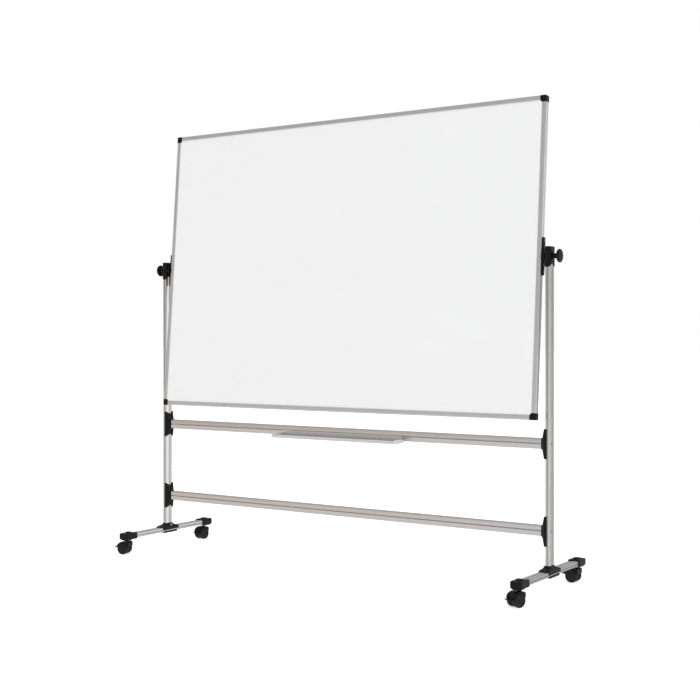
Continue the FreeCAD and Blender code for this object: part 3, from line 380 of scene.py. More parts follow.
def helper_object(shape):
    """A passing object for a modifier to work on."""
    bmesh.ops.recalc_face_normals(shape, faces=shape.faces)
    mesh = bpy.data.meshes.new("helper")
    shape.to_mesh(mesh)
    shape.free()
    helper = bpy.data.objects.new("helper", mesh)
    bpy.context.scene.collection.objects.link(helper)
    return helper


def solid(base, *tools, operation="DIFFERENCE"):
    """Cuts the tools out of the base, or unites them with it."""
    helpers = [helper_object(shape) for shape in (base, *tools)]
    for tool in helpers[1:]:
        modifier = helpers[0].modifiers.new("solid", "BOOLEAN")
        modifier.operation = operation
        modifier.solver = "EXACT"
        modifier.object = tool
    evaluated = helpers[0].evaluated_get(bpy.context.evaluated_depsgraph_get())
    result = bpy.data.meshes.new_from_object(evaluated)
    shape = bmesh.new()
    shape.from_mesh(result)
    bpy.data.meshes.remove(result)
    for helper in helpers:
        bpy.data.meshes.remove(helper.data)
    bmesh.ops.remove_doubles(shape, verts=shape.verts, dist=WELD)
    bmesh.ops.dissolve_degenerate(shape, edges=shape.edges, dist=WELD)
    return shape


def united(base, *others):
    return solid(base, *others, operation="UNION")


def put(name, shape, place, body, slot, nodes=(), rounding=0.0, steps=3, crease=32.0):
    """Makes a placed piece of a shape; rounding, in millimetres, softens edges sharper than crease."""
    shape = shape.copy()
    shape.transform(place @ Matrix.Scale(MM, 4))
    bmesh.ops.recalc_face_normals(shape, faces=shape.faces)
    mesh = bpy.data.meshes.new(name)
    shape.to_mesh(mesh)
    shape.free()
    mesh.materials.append(FINISH[slot])
    mesh.shade_smooth()
    piece = bpy.data.objects.new(name, mesh)
    bpy.context.scene.collection.objects.link(piece)
    if rounding:
        bevel = piece.modifiers.new("rounding", "BEVEL")
        bevel.width = rounding * MM
        bevel.segments = steps
        bevel.limit_method = "ANGLE"
        bevel.angle_limit = math.radians(crease)
    else:
        mesh.set_sharp_from_angle(angle=math.radians(crease))
    piece.modifiers.new("flat_faces", "WEIGHTED_NORMAL").keep_sharp = True
    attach(piece, body)
    if nodes:
        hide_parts(*nodes)
    return piece


# ---------------------------------------------------------------------------------------------
# Places on the frame, in metres
# ---------------------------------------------------------------------------------------------
PIVOT = Vector(JOINTS["board_tilt"]["pos_m"])
POST_LINE = JOINTS["knob_right_turn"]["pos_m"][0]
STEM_LINE = JOINTS["caster_back_right_swivel"]["pos_m"][1]
ON_BOARD = Matrix.Translation(PIVOT) @ Matrix.Rotation(-BOARD_TILT, 4, "X")


def shifted(x=0, y=0, z=0):
    return Matrix.Translation((x, y, z))


def facing(side):
    """Leaves a shape that is drawn for the positive side, or turns it round for the other one."""
    return Matrix.Identity(4) if side > 0 else Matrix.Rotation(math.pi, 4, "Z")


def facing_out(side, height):
    """A place on a post's centre line, with the shape's +X turned outwards."""
    return shifted(side * POST_LINE, 0, height) @ facing(side)


def laid(side):
    """Turns what is drawn along Z to point to one side, along X."""
    to_right = Matrix.Rotation(math.radians(90), 4, "Y")
    return to_right if side == RIGHT else to_right.inverted()


def bar_height(level_name):
    low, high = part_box(f"crossbar_{level_name}")
    return (low.z + high.z) / 2


# Sizes that several shapes share, in millimetres.
TUBE_THIN, TUBE_WIDE, TUBE_CORNER = 20.3, 40.3, 3.65      # an opening for the 40 x 20 extrusion
RAIL_MIDDLE = 77.5                                        # the foot rails' height above the floor
SADDLE_SCREW_HEIGHT = 96
FOOT_BOLT_SHIFT = 11                                      # from the post's middle to each bolt
PLATE_THICK = 6.9


def tube_opening(wide, deep, middle=(0, 0), steps=6):
    """The outline of a hollow cut for a tube, with the tube's own corners."""
    return rounded(wide, deep, TUBE_CORNER, steps, flats=0, middle=middle)


# ---------------------------------------------------------------------------------------------
# Screws and studs
# ---------------------------------------------------------------------------------------------
def screw(shank, depth, head, high, socket):
    """A screw along Z, its head above z = 0, with a hexagon socket or a cross recess.  shank and head
    are radii."""
    point, skirt, doming = 0.8, 0.35, 0.32
    profile = [(shank * point, -depth), (shank, -depth + 0.6), (shank, 0), (head, 0.05),
               (head, high * skirt)]
    crown = [(head * (1 - doming * t * t), high * (skirt + (1 - skirt) * math.sin(t * math.pi / 2)))
             for t in (0.2, 0.4, 0.6, 0.8, 1.0)]
    body = lathe(profile + crown, 36)
    if socket == "hexagon":
        return solid(body, prism(disc((0, 0), head * 0.5, 6), high * skirt, high + 1))
    wide, long = head * 0.16, head * 0.55
    slots = [prism([(-a, -b), (a, -b), (a, b), (-a, b)], high * 0.4, high + 1)
             for a, b in ((wide, long), (long, wide))]
    return solid(body, *slots)


def pin(radius, low, high, chamfer, segments):
    """A round bar along Z with chamfered ends."""
    tip = radius - chamfer
    return lathe([(tip, low), (radius, low + chamfer), (radius, high - chamfer), (tip, high)], segments)


def bar_bolts():
    bolt = screw(shank=3, depth=40, head=5.5, high=3, socket="hexagon")
    post_face = 10 * MM
    for level_name in LEVELS:
        for side, name in SIDES:
            place = facing_out(side, bar_height(level_name)) @ shifted(post_face) @ laid(RIGHT)
            put(f"bar_bolt_{level_name}_{name}", bolt, place, "stand", "zinc_steel", ("crossbar_bolts",))


def saddle_screws():
    lock_screw = screw(shank=2, depth=11, head=4.5, high=2.4, socket="cross")
    inner_slope = -21 * MM
    for side, name in SIDES:
        place = facing_out(side, SADDLE_SCREW_HEIGHT * MM) @ shifted(inner_slope) @ laid(LEFT)
        put(f"saddle_screw_{name}", lock_screw, place, "stand", "zinc_steel", ("saddle_screws",))


def plate_screws():
    plate_screw = screw(shank=2, depth=11.3, head=3.8, high=2, socket="cross")
    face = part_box("pivot_plate_right")[0].x + PLATE_THICK * MM
    for side, name in SIDES:
        for number, height in enumerate((-58, -32, 32, 58)):
            place = ON_BOARD @ shifted(side * face, 0, height * MM) @ laid(side)
            put(f"plate_screw_{name}_{number}", plate_screw, place, "board", "zinc_steel", ("plate_screws",))


def foot_bolts():
    high = 3
    bolt = screw(shank=3, depth=46, head=5, high=high, socket="hexagon")
    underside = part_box("foot_bolts")[0].z + high * MM
    upside_down = Matrix.Rotation(math.pi, 4, "X")
    for side, name in SIDES:
        for end, end_name in ENDS:
            place = shifted(side * POST_LINE, end * FOOT_BOLT_SHIFT * MM, underside) @ upside_down
            put(f"foot_bolt_{end_name}_{name}", bolt, place, "stand", "zinc_steel", ("foot_bolts",))


def clamp_studs():
    """The studs that carry the knobs; each starts in its pivot plate, clear of the side rail."""
    clear_of_rail = 2.4
    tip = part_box("clamp_studs")[1].x
    long = (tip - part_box("frame_rail_right")[1].x) / MM - clear_of_rail
    stud = pin(4, 0, long, chamfer=0.8, segments=40)
    for side, name in SIDES:
        place = shifted(side * (tip - long * MM), 0, PIVOT.z) @ laid(side)
        put(f"clamp_stud_{name}", stud, place, "board", "zinc_steel", ("clamp_studs",))


# ---------------------------------------------------------------------------------------------
# Post heads, knobs and pivot plates
# ---------------------------------------------------------------------------------------------
def post_head_shape():
    """A sleeve with a filleted top, arched underneath across its wide faces; z = 0 is the pivot."""
    thin, wide, top, bottom, roof = 26, 46, 35, -40, 5
    fillet, corner, shoulder, crown_inset = 2.5, 9.5, -8, 6
    arch_radius, arch_drop = 22, 9
    wall, lip = (thin - TUBE_THIN) / 2, 0.5

    def rim(x, y, above=0.0):
        rise = arch_radius ** 2 - y ** 2
        return above + (max(bottom, bottom - arch_drop + math.sqrt(rise)) if rise > 0 else bottom)

    def rim_above(distance):
        return lambda x, y: rim(x, y, distance)

    def ring(inset, height):
        outline = rounded(thin - 2 * inset, wide - 2 * inset, corner - inset, steps=8, flats=12)
        return level(outline, height)

    rings = [ring(wall, top - roof), ring(wall, rim_above(lip)), ring(wall - lip, rim), ring(0.9, rim),
             ring(0.3, rim_above(0.3)), ring(0, rim_above(1.0)), ring(0, shoulder), ring(0, top - fillet)]
    for step in range(1, 6):
        angle = math.radians(90 * step / 5)
        rings.append(ring(fillet * (1 - math.cos(angle)), top - fillet + fillet * math.sin(angle)))
    rings.append(ring(crown_inset, top))
    return skin(rings)


def boss_shape():
    """The round seat on the head's outer face that the knob bears on, with a shallow ring in it."""
    outside = [(13, 11), (13, 14.2), (12.6, 15.1), (11.8, 15.8), (11, 16)]
    groove = [(10.4, 16), (10, 15.5), (9.4, 15.5), (9, 16), (5, 16)]
    return turned(lathe(outside + groove, 72), "Y")


def post_heads():
    shape = joined(post_head_shape(), boss_shape())
    for side, name in SIDES:
        put(f"head_{name}", shape, facing_out(side, PIVOT.z), "stand", "black_plastic",
            (f"post_head_{name}",))


def knob_shape():
    """A mushroom knob along +X, from its neck at the boss to a dished crown, with a fluted rim."""
    flute_count, flute_depth, flutes_from, flutes_grow = 14, 0.9, 19, 5

    def flutes(radius, angle):
        grip = max(0.0, min(1.0, (radius - flutes_from) / flutes_grow))
        return radius - flute_depth * grip * (0.5 + 0.5 * math.cos(flute_count * angle))

    neck = [(4.4, 16.4), (8.2, 16.4), (9, 17), (9, 20), (9.3, 26), (10.4, 29), (12.4, 31), (15.2, 32.2)]
    under = [(18.6, 33.1), (21.4, 34.1), (23.4, 35.4), (24.6, 37)]
    rim = [(25.1, 38.8), (25.2, 40.4), (24.9, 41.8), (23.8, 43.1), (21.6, 44.1)]
    crown = [(18.4, 44.8), (15.4, 45.2), (14.2, 45.0), (13.2, 44.7), (12.2, 45.1), (11, 45.7), (8, 46.2),
             (4, 46.4), (1, 46.4)]
    return turned(lathe(neck + under + rim + crown, 112, flutes), "Y")


def clamp_knobs():
    shape = knob_shape()
    for side, name in SIDES:
        put(f"knob_{name}", shape, facing_out(side, PIVOT.z), f"knob_{name}", "black_plastic",
            (f"clamp_knob_{name}",))


def pivot_plate_shape():
    """A crowned plate with a turned hub, drawn up the board, its back on the side rail at x = 0."""
    long, wide, thick, hub, reach = 142, 21, PLATE_THICK, 18.5, 14.9
    corner, root, stud_hole, step_width = 8, thick - 4.4, 4.3, 1.6

    def ring(inset, height):
        outline = rounded(wide - 2 * inset, long - 2 * inset, corner - inset, steps=8, flats=3)
        return level(outline, height)

    sides = [(0.4, 0), (0, 0.4), (0, thick - 3.4)]
    crown = [(0.25, thick - 2.4), (0.8, thick - 1.5), (1.7, thick - 0.8), (3, thick - 0.35), (4.6, thick)]
    plate = skin([ring(inset, height) for inset, height in sides + crown])
    barrel = [(hub, root), (hub, reach - 1.2), (hub - 0.4, reach - 0.5), (hub - 1.1, reach - 0.1),
              (hub - 1.8, reach), (stud_hole, reach)]
    step = [(hub + step_width, root), (hub + step_width, thick - 0.6), (hub + step_width - 0.4, thick),
            (hub - 2, thick + 0.1)]
    whole = joined(plate, joined(lathe(barrel, 72), lathe(step, 72)))
    whole.transform(SIDE_VIEW)
    return whole


def pivot_plates():
    shape = pivot_plate_shape()
    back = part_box("pivot_plate_right")[0].x
    for side, name in SIDES:
        put(f"plate_{name}", shape, ON_BOARD @ shifted(side * back) @ facing(side), "board",
            "black_plastic", (f"pivot_plate_{name}",))


# ---------------------------------------------------------------------------------------------
# Crossbar joints
# ---------------------------------------------------------------------------------------------
def bar_joint_shape(back):
    """A gable-shaped cradle with a nose round the bar; +X points out, the post stands in its channel
    and the bar lies in its socket.  The notches leave a thin ear towards back (+1 or -1 along Y)."""
    high, wide, reach = 55, 45, 29              # half its height, its width, and how far its nose goes
    mouth, channel_middle, beyond = -3, 10, 70  # beyond is past both its ends
    wedge_start, wedge_depth, outside = -11.3, 11.2, 24
    notch_depth, notch_inner, notch_outer = 10, 14, 20

    slope = [(-12.4, high), (-22, 22), (-26.5, 19.6), (-28.4, 18.4), (-reach, 16.6)]
    gable = [(mouth, -high), (mouth, high)] + slope + [(x, -z) for x, z in reversed(slope)]
    block = prism(gable, -wide / 2, wide / 2, FRONT_VIEW)
    channel = prism(tube_opening(TUBE_WIDE, TUBE_WIDE, (channel_middle, 0)), -beyond, beyond)
    socket = prism(tube_opening(TUBE_THIN, TUBE_WIDE), -40, -14, SIDE_VIEW)
    wedges = [prism([(-30, way * wedge_depth), (-30, way * outside), (wedge_start, way * (outside - 0.5))],
                    -beyond, beyond) for way in (1, -1)]
    notches = []
    for way in (1, -1):
        past_top, floor = way * (high + 1), way * (high - notch_depth)
        outline = [(-back * (wide / 2 + 1), past_top), (0, floor), (back * notch_inner, floor),
                   (back * notch_outer, past_top)]
        notches.append(prism(outline, -40, 20, SIDE_VIEW))
    return solid(block, *wedges, channel, socket, *notches)


def bar_joints():
    shapes = {side: bar_joint_shape(side) for side in (LEFT, RIGHT)}
    for level_name in LEVELS:
        for side, name in SIDES:
            place = facing_out(side, bar_height(level_name))
            put(f"joint_{level_name}_{name}", shapes[side], place, "stand", "black_plastic",
                (f"bar_joint_{level_name}_{name}",), rounding=1.2)


# ---------------------------------------------------------------------------------------------
# Feet, drawn from the floor at z = 0
# ---------------------------------------------------------------------------------------------
def saddle_shape():
    """A cover over the foot rail whose sides sweep up to a collar round the post."""
    wide, long, foot, edge, top = 45.3, 104, 77.5, 90, 104
    collar_wide, collar_long, collar_foot = 26, 46, top - 4
    roof_wide, roof_long, roof = wide - 2.2, long - 3, edge + 0.3
    rail_half, rail_top, post_foot = 20.3, 87.65, 89.5
    beyond, screw_seat, seat_from = 120, 5, -18.9

    def ring(across, along, corner, height):
        return level(rounded(across, along, corner, flats=6), height)

    rings = [ring(wide - 0.8, long - 0.8, 4.6, foot), ring(wide, long, 5, foot + 0.6),
             ring(wide, long, 5, edge - 1.5), ring(wide - 0.7, long - 0.9, 5, edge - 0.4),
             ring(roof_wide, roof_long, 5, roof)]
    for step in range(1, 8):
        part = step / 8
        sweep = 1 - (1 - part) ** 1.35
        rings.append(ring(roof_wide + (collar_wide + 0.4 - roof_wide) * sweep,
                          roof_long + (collar_long + 0.6 - roof_long) * sweep, 5 + 2 * part,
                          roof + (collar_foot - edge) * part))
    for inset, corner, below in ((0, 8, 3), (0, 8, 0.7), (0.3, 7.7, 0.15), (0.8, 7.2, 0)):
        rings.append(ring(collar_wide - 2 * inset, collar_long - 2 * inset, corner, top - below))
    shell = skin(rings)
    tunnel = prism([(-rail_half, 60), (rail_half, 60), (rail_half, rail_top), (-rail_half, rail_top)],
                   -60, 60, FRONT_VIEW)
    post = prism(tube_opening(TUBE_THIN, TUBE_WIDE), post_foot, beyond)
    seat = prism(disc((0, 0), screw_seat, 24), -26, seat_from, SIDE_VIEW)
    return solid(shell, tunnel, post, moved(seat, z=SADDLE_SCREW_HEIGHT))


def clamp_shape():
    """The strip under the rail that the foot bolts draw up, with upturned edges and tapered ends."""
    corner, bolt_head, seat = 4.2, 5.6, 64.5
    sections = ((38, 76, 63), (40.4, 79, 63.2), (42.6, 81.8, 64), (44, 83.6, 65.6), (44.3, 84, 67),
                (44.3, 84, 71.4), (43.7, 83.4, 72))
    strip = skin([level(rounded(wide, long, corner, steps=5), height) for wide, long, height in sections])
    rail = tube_opening(TUBE_WIDE, TUBE_THIN, (0, RAIL_MIDDLE), steps=5)
    holes = [moved(prism(disc((0, 0), bolt_head, 24), 55, seat), y=shift)
             for shift in (-FOOT_BOLT_SHIFT, FOOT_BOLT_SHIFT)]
    return solid(strip, prism(rail, -50, 50, FRONT_VIEW), *holes)


def foot_cap_shape():
    """The moulded end of a foot: +Y points out of the foot, and the caster stem stands on Z."""
    wide, low, high, inner, outer = 47, 64, 91.5, -33, 34
    nose, flat_nose, dip = 10, (11.5, 6.5), 5
    rail_end, beyond, bite = 15, 60, 28         # the first two are measured towards -Y
    middle, tall = (low + high) / 2, high - low

    def section(along, inset_x, inset_z):
        corner = max(1.8, 5 - 0.2 * inset_z)
        outline = rounded(wide - 2 * inset_x, tall - 2 * inset_z, corner)
        return [Vector((x, along, middle + z)) for x, z in outline]

    sections = [section(inner, 0.5, 0.5), section(inner + 0.5, 0, 0), section(0, 0, 0),
                section(outer - nose, 0, 0)]
    for step in range(1, 10):
        angle = math.radians(90 * step / 10)
        reach, drop = math.sin(angle), 1 - math.cos(angle)
        sections.append(section(outer - nose + nose * reach, nose * drop, dip * drop))
    block = skin(sections + [section(outer, *flat_nose)])
    boss = [(13.5, -3), (13.5, 2.4), (13, 3.3), (12, 3.85), (10.8, 4), (9.6, 4), (9.2, 3.7), (8.6, 3.6)]
    boss = lathe([(radius, high + above) for radius, above in boss], 56)
    pad = prism(rounded(38, 38, 8, flats=0, middle=(0, 9)), low - 2.5, low + 2)
    whole = united(block, moved(boss, y=-2), pad)
    rail = tube_opening(TUBE_WIDE, TUBE_THIN, (0, RAIL_MIDDLE))
    tunnel = prism(rail, rail_end, beyond, FRONT_VIEW)
    mouth = prism(disc((0, inner - 22), bite, 72), 40, 120)
    return solid(whole, tunnel, mouth)


def feet():
    saddle, clamp, cap = saddle_shape(), clamp_shape(), foot_cap_shape()
    for side, name in SIDES:
        put(f"saddle_{name}", saddle, facing_out(side, 0), "stand", "black_plastic",
            (f"foot_saddle_{name}",), rounding=0.5, steps=2)
        put(f"clamp_{name}", clamp, facing_out(side, 0), "stand", "black_plastic",
            (f"foot_clamp_{name}",), rounding=0.5, steps=2)
        for end, end_name in ENDS:
            place = shifted(side * POST_LINE, end * STEM_LINE) @ facing(end)
            put(f"cap_{end_name}_{name}", cap, place, "stand", "black_plastic",
                (f"foot_cap_{end_name}_{name}",), rounding=0.5, steps=2)


# ---------------------------------------------------------------------------------------------
# Casters.  The stem stands on Z, +X is the way the wheels trail, and Y is the axle.
# ---------------------------------------------------------------------------------------------
TRAIL, WHEEL = 16, 25           # how far the axle trails the stem, and the wheels' radius
AXLE = (TRAIL, WHEEL)
PEDAL = (46.4, 31)              # the pedal's pin, seen along the axle


def hood_shape():
    """The hood over both wheels, open below and at the back, with the web that carries the axle."""
    half, web_half, arch, wheel_room, beyond = 21, 5.5, 30, 26, 40
    front = [(-11, 34), (-11, 40)] + arc((-2.5, 46.5), 8.5, 180, 90)
    back = arc(AXLE, arch, 90, 17.5, 18)
    hood = prism(front + back, -half, half, FRONT_VIEW)
    wells = [prism(disc(AXLE, wheel_room, 72), low, high, FRONT_VIEW)
             for low, high in ((-beyond, -web_half), (web_half, beyond))]
    relief = [prism(arc(AXLE, 28.4, 20, 96, 16) + arc(AXLE, 26.4, 96, 20, 16), low, high, FRONT_VIEW)
              for low, high in ((-half - 1, -half + 0.8), (half - 0.8, half + 1))]
    cover = solid(hood, *wells, *relief)
    web = prism(disc(AXLE, 21, 60), -web_half, web_half, FRONT_VIEW)
    ear = [(-3.4, -3), (2, -3), (3, -2), (3, 3), (-2, 9), (-7, 9), (-5, 4)]
    ears = [prism([(PEDAL[0] + x, PEDAL[1] + z) for x, z in ear], low, high, FRONT_VIEW)
            for low, high in ((-11.4, -8.4), (8.4, 11.4))]
    turret = lathe([(7, 51), (7, 57.3), (6.6, 57.8), (6.2, 58), (4.2, 58)], 48)
    return joined(united(cover, web, *ears), turret)


def wheel_shape():
    """One wheel along +Y from its inner face: crowned tread, raised rim, ribbed dish and a hub cap."""
    inner, outer = 6.2, 23.7
    dished = outer - 1.7

    def from_inside(points):
        return [(WHEEL - inset, inner + depth) for inset, depth in points]

    def from_outside(points):
        return [(WHEEL - inset, outer - depth) for inset, depth in points]

    tread = [(3.3, inner)] + from_inside([(4, 0), (2.4, 0.3), (1.2, 1), (0.4, 2.2), (0.05, 3.6), (0, 6)])
    tread += from_outside([(0, 6), (0.05, 3.8), (0.4, 2.4), (1.1, 1.1), (2.2, 0.25), (3.2, 0)])
    dish = from_outside([(5.4, 0), (6.1, 0.3), (6.8, 1.4), (7.6, 1.7)])
    rib = [(12.4, dished), (12, outer - 1.35), (11.4, outer - 1.35), (11, dished), (9.2, dished)]
    hub = ((8.5, 1.4), (8.2, 0.8), (7.6, 0.45), (6.6, 0.35), (3, 0.3))
    hub = [(radius, outer - depth) for radius, depth in hub]
    return turned(lathe(tread + dish + rib + hub, 96), "X", -90)


def pedal_shape():
    """The brake pedal: a barrel between the ears and a ribbed paddle."""
    half, paddle_half, corner = 8, 14, 4
    rib_from, rib_to, rib_thick, rib_pitch, rib_count = 5.6, 11.4, 1.1, 4, 6
    barrel = turned(lathe([(2.4, -half), (3, -half + 0.5), (3, half - 0.5), (2.4, half)], 32), "X")
    neck = prism([(-1, -2.7), (4.6, -2.2), (5, 2.3), (-1, 2.9)], -half, half, FRONT_VIEW)
    bend = paddle_half - corner
    plan = [(4.6, -paddle_half), (9, -paddle_half)] + arc((9, -bend), corner, -90, 0, 6)
    plan += arc((9, bend), corner, 0, 90, 6) + [(4.6, paddle_half)]
    paddle = prism(plan, -1.5, 1.4)
    first = -rib_pitch * (rib_count - 1) / 2
    ribs = []
    for y in (first + rib_pitch * number for number in range(rib_count)):
        outline = [(rib_from, y), (rib_to, y), (rib_to, y + rib_thick), (rib_from, y + rib_thick)]
        ribs.append(moved(prism(outline, 1, 2.0), y=-0.5))
    return moved(united(neck, barrel, paddle, *ribs), PEDAL[0], 0, PEDAL[1])


def cross_pin(radius, half, spot):
    """A pin along the axle's direction, at a spot seen along it."""
    return moved(turned(pin(radius, -half, half, chamfer=0.5, segments=32), "X"), spot[0], 0, spot[1])


def casters():
    hood, wheel, pedal = hood_shape(), wheel_shape(), pedal_shape()
    pins = joined(cross_pin(3, 21.2, AXLE), cross_pin(1.5, 11.4, PEDAL))
    low, high = (corner.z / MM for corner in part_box("caster_stems"))
    stem = pin(4, low, high, chamfer=0.8, segments=40)
    collar = [(4.05, 58.2), (9, 58.2), (9.6, 58.6), (9.6, 60.6), (9, 61.2), (4.05, 61.2)]
    collar = lathe(collar, 48, bored=True)
    for _, end_name in ENDS:
        for _, name in SIDES:
            title = f"caster_{end_name}_{name}"
            stand_at = Vector(JOINTS[f"{title}_swivel"]["pos_m"])
            trail = Vector(JOINTS[f"{title}_roll_a"]["pos_m"]) - stand_at
            spot = shifted(stand_at.x, stand_at.y)
            place = spot @ Matrix.Rotation(math.atan2(trail.y, trail.x), 4, "Z")
            on_axle = place @ shifted(TRAIL * MM, 0, WHEEL * MM)
            put(f"{title}_hood", hood, place, f"{title}_swivel", "black_plastic", (f"{title}_housing",),
                rounding=0.7, crease=30)
            put(f"{title}_axles", pins, place, f"{title}_swivel", "zinc_steel", (f"{title}_pins",))
            put(f"{title}_roller_a", wheel, on_axle, f"{title}_wheel_a", "wheel_plastic",
                (f"{title}_wheel_a",))
            put(f"{title}_roller_b", wheel, on_axle @ facing(LEFT), f"{title}_wheel_b", "wheel_plastic",
                (f"{title}_wheel_b",))
            put(f"{title}_brake", pedal, place, f"{title}_pedal", "black_plastic", (f"{title}_pedal",),
                rounding=0.35, steps=2)
            put(f"{title}_stem", stem, spot, "stand", "zinc_steel", ("caster_stems",))
            put(f"{title}_collar", collar, spot, "stand", "zinc_steel")


# ---------------------------------------------------------------------------------------------
# Board corners and tray ends
# ---------------------------------------------------------------------------------------------
def board_corner_shape():
    """A corner piece with the board's outer corner at the origin, its legs along -X and -Z."""
    leg, face, depth, radius = 26, 18.5, 24, 5.5
    wall, slot_half, beyond = 5, 9, 30
    bend = arc((-radius, -radius), radius, 90, 0)
    outline = [(-leg, 0)] + bend + [(0, -leg), (-face, -leg), (-leg, -face)]
    block = prism(outline, -depth / 2, depth / 2, FRONT_VIEW)
    slot = prism([(-wall, -wall), (-beyond, -wall), (-beyond, -beyond), (-wall, -beyond)],
                 -slot_half, slot_half, FRONT_VIEW)
    return solid(block, slot)


def board_corners():
    shape = board_corner_shape()
    half_wide, half_high = 0.9, 0.5999          # the board's, in its own plane
    for side, name in SIDES:
        for way, way_name in ((1, "top"), (-1, "bottom")):
            flip = Matrix.Diagonal((side, 1, way, 1))
            corner = shifted(side * half_wide, 0, way * half_high)
            put(f"corner_{way_name}_{name}", shape, ON_BOARD @ corner @ flip, "board", "black_plastic",
                ("frame_corners",), rounding=1.6, steps=4)


def tray_ends():
    """The rounded caps that close the pen tray, one on each end."""
    radius = 6
    low, high = (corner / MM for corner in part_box("tray_end_caps"))
    thick = (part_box("pen_tray")[0].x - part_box("tray_end_caps")[0].x) / MM
    front, back, bottom, top = low.y, high.y, low.z, high.z
    outline = arc((front + radius, bottom + radius), radius, 180, 270) + [(back, bottom), (back, top)]
    outline += arc((front + radius, top - radius), radius, 90, 180)
    for side, name in SIDES:
        inner = low.x + thick if side == LEFT else high.x - thick
        outer = inner + side * thick
        shape = prism(outline, min(inner, outer), max(inner, outer), SIDE_VIEW)
        put(f"tray_end_{name}", shape, Matrix.Identity(4), "tray", "grey_plastic", ("tray_end_caps",),
            rounding=1.8, steps=4)


# ---------------------------------------------------------------------------------------------
# Studio
# ---------------------------------------------------------------------------------------------
FLOOR_HALF = 60.0
FLOOR_TONES, FLOOR_GLOW = ((0.50, 0.50, 0.50), (0.52, 0.52, 0.52)), 0.7
# The room, as the metal reflects it: its level above the horizon, its levels below the horizon at the
# front and at the back, and a bright window behind on the right.  A span such as HORIZON says over what
# cosines, between a direction and the side that counts, one level goes over to the next.
ROOM_DIM, ROOM_BELOW, ROOM_BRIGHT = 0.52, (0.90, 0.62), 1.40
HORIZON, FRONT_TO_BACK, WINDOW_EDGE = (-0.08, 0.08), (-0.4, 0.5), (0.89, 0.95)
WINDOW_SIDE = Vector((0.86, 0.50, 0.05)).normalized()
WARM_SIDE, WARM_EDGE = Vector((-0.80, -0.60, 0.0)).normalized(), (0.87, 0.96)
ROOM_WARM = (1.0, 0.88, 0.81)
WHITE = (1, 1, 1, 1)
# Each sun: the side it shines from, its spread in degrees, and its strength.
SUNS = {"key": (Vector((0.25, -1.0, 0.55)), 50, 0.20), "overhead": (Z, 80, 2.0)}
CAMERA_PLACE, CAMERA_TURN = (2.807, -4.1424, 0.9446), (90, 0, 33.61)


def studio_floor():
    """A wide white sweep on the floor, out of sight of the metal."""
    data = bpy.data.meshes.new("studio_floor")
    corners = [(x * FLOOR_HALF, y * FLOOR_HALF, 0) for x, y in ((-1, -1), (1, -1), (1, 1), (-1, 1))]
    data.from_pydata(corners, [], [(0, 1, 2, 3)])
    floor = bpy.data.objects.new("studio_floor", data)
    bpy.context.scene.collection.objects.link(floor)
    graph = Graph("studio_paint")
    patches = graph.noise(graph.place(), 1.5, detail=4.0)
    data.materials.append(graph.surface(Base_Color=graph.blend(patches, *FLOOR_TONES), Roughness=0.9,
                                        Specular_IOR_Level=0.0, Emission_Color=WHITE,
                                        Emission_Strength=FLOOR_GLOW))
    floor.visible_glossy = False


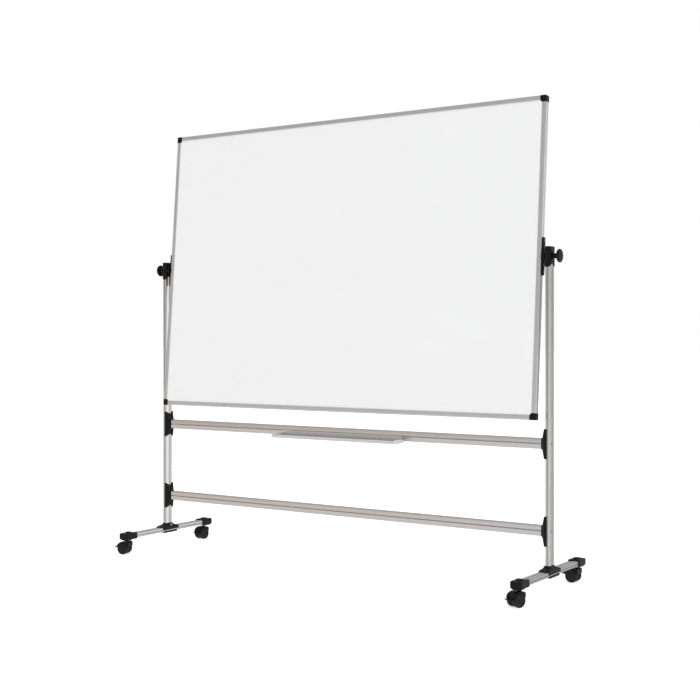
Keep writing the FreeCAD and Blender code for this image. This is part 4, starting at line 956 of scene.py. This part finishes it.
def studio_world():
    """A pale room that lights and is mirrored, with a warm cast from the left; the camera sees white."""
    world = bpy.data.worlds.new("studio")
    bpy.context.scene.world = world
    world.use_nodes = True
    nodes, links = world.node_tree.nodes, world.node_tree.links
    nodes.clear()
    direction = nodes.new("ShaderNodeTexCoord").outputs["Generated"]

    def toward(side):
        dot = nodes.new("ShaderNodeVectorMath")
        dot.operation = "DOT_PRODUCT"
        dot.inputs[1].default_value = side
        links.new(direction, dot.inputs[0])
        return dot.outputs["Value"]

    def ramp(value, span, low, high):
        step = nodes.new("ShaderNodeMapRange")
        step.interpolation_type = "SMOOTHSTEP"
        start, stop = span
        for key, number in (("From Min", start), ("From Max", stop), ("To Min", low), ("To Max", high)):
            step.inputs[key].default_value = number
        links.new(value, step.inputs["Value"])
        return step.outputs[0]

    brightest = nodes.new("ShaderNodeMath")
    brightest.operation = "MAXIMUM"
    room_level = ramp(toward(Z), HORIZON, 0.0, ROOM_DIM)
    links.new(ramp(toward(Y), FRONT_TO_BACK, *ROOM_BELOW), room_level.node.inputs["To Min"])
    links.new(room_level, brightest.inputs[0])
    links.new(ramp(toward(WINDOW_SIDE), WINDOW_EDGE, 0.0, ROOM_BRIGHT), brightest.inputs[1])
    tint = nodes.new("ShaderNodeMix")
    tint.data_type = "RGBA"
    tint.inputs[6].default_value = WHITE
    tint.inputs[7].default_value = (*ROOM_WARM, 1)
    links.new(ramp(toward(WARM_SIDE), WARM_EDGE, 0.0, 1.0), tint.inputs[0])
    room = nodes.new("ShaderNodeBackground")
    links.new(brightest.outputs[0], room.inputs["Strength"])
    links.new(tint.outputs[2], room.inputs["Color"])
    backdrop = nodes.new("ShaderNodeBackground")
    backdrop.inputs["Color"].default_value = WHITE
    seen = nodes.new("ShaderNodeLightPath")
    either = nodes.new("ShaderNodeMixShader")
    links.new(seen.outputs["Is Camera Ray"], either.inputs[0])
    links.new(room.outputs[0], either.inputs[1])
    links.new(backdrop.outputs[0], either.inputs[2])
    output = nodes.new("ShaderNodeOutputWorld")
    links.new(either.outputs[0], output.inputs["Surface"])


def studio_suns():
    """Soft suns that don't show in the metal."""
    for name, (side, softness, strength) in SUNS.items():
        light = bpy.data.lights.new(name, "SUN")
        light.angle = math.radians(softness)
        light.energy = strength
        lamp = bpy.data.objects.new(name, light)
        lamp.rotation_euler = side.to_track_quat("Z", "Y").to_euler()
        lamp.visible_glossy = False
        bpy.context.scene.collection.objects.link(lamp)


def studio_camera():
    camera = bpy.data.cameras.new("camera")
    camera.sensor_width = 36.0
    camera.lens = 63.32
    camera.shift_y = -0.0217
    camera.clip_end = 200.0
    mount = bpy.data.objects.new("camera", camera)
    mount.location = CAMERA_PLACE
    mount.rotation_euler = [math.radians(angle) for angle in CAMERA_TURN]
    bpy.context.scene.collection.objects.link(mount)
    bpy.context.scene.camera = mount


dress_cad_nodes()
bar_bolts()
saddle_screws()
plate_screws()
foot_bolts()
clamp_studs()
post_heads()
clamp_knobs()
pivot_plates()
bar_joints()
feet()
casters()
board_corners()
tray_ends()
studio_floor()
studio_world()
studio_suns()
studio_camera()
bpy.context.scene.view_settings.view_transform = "Standard"
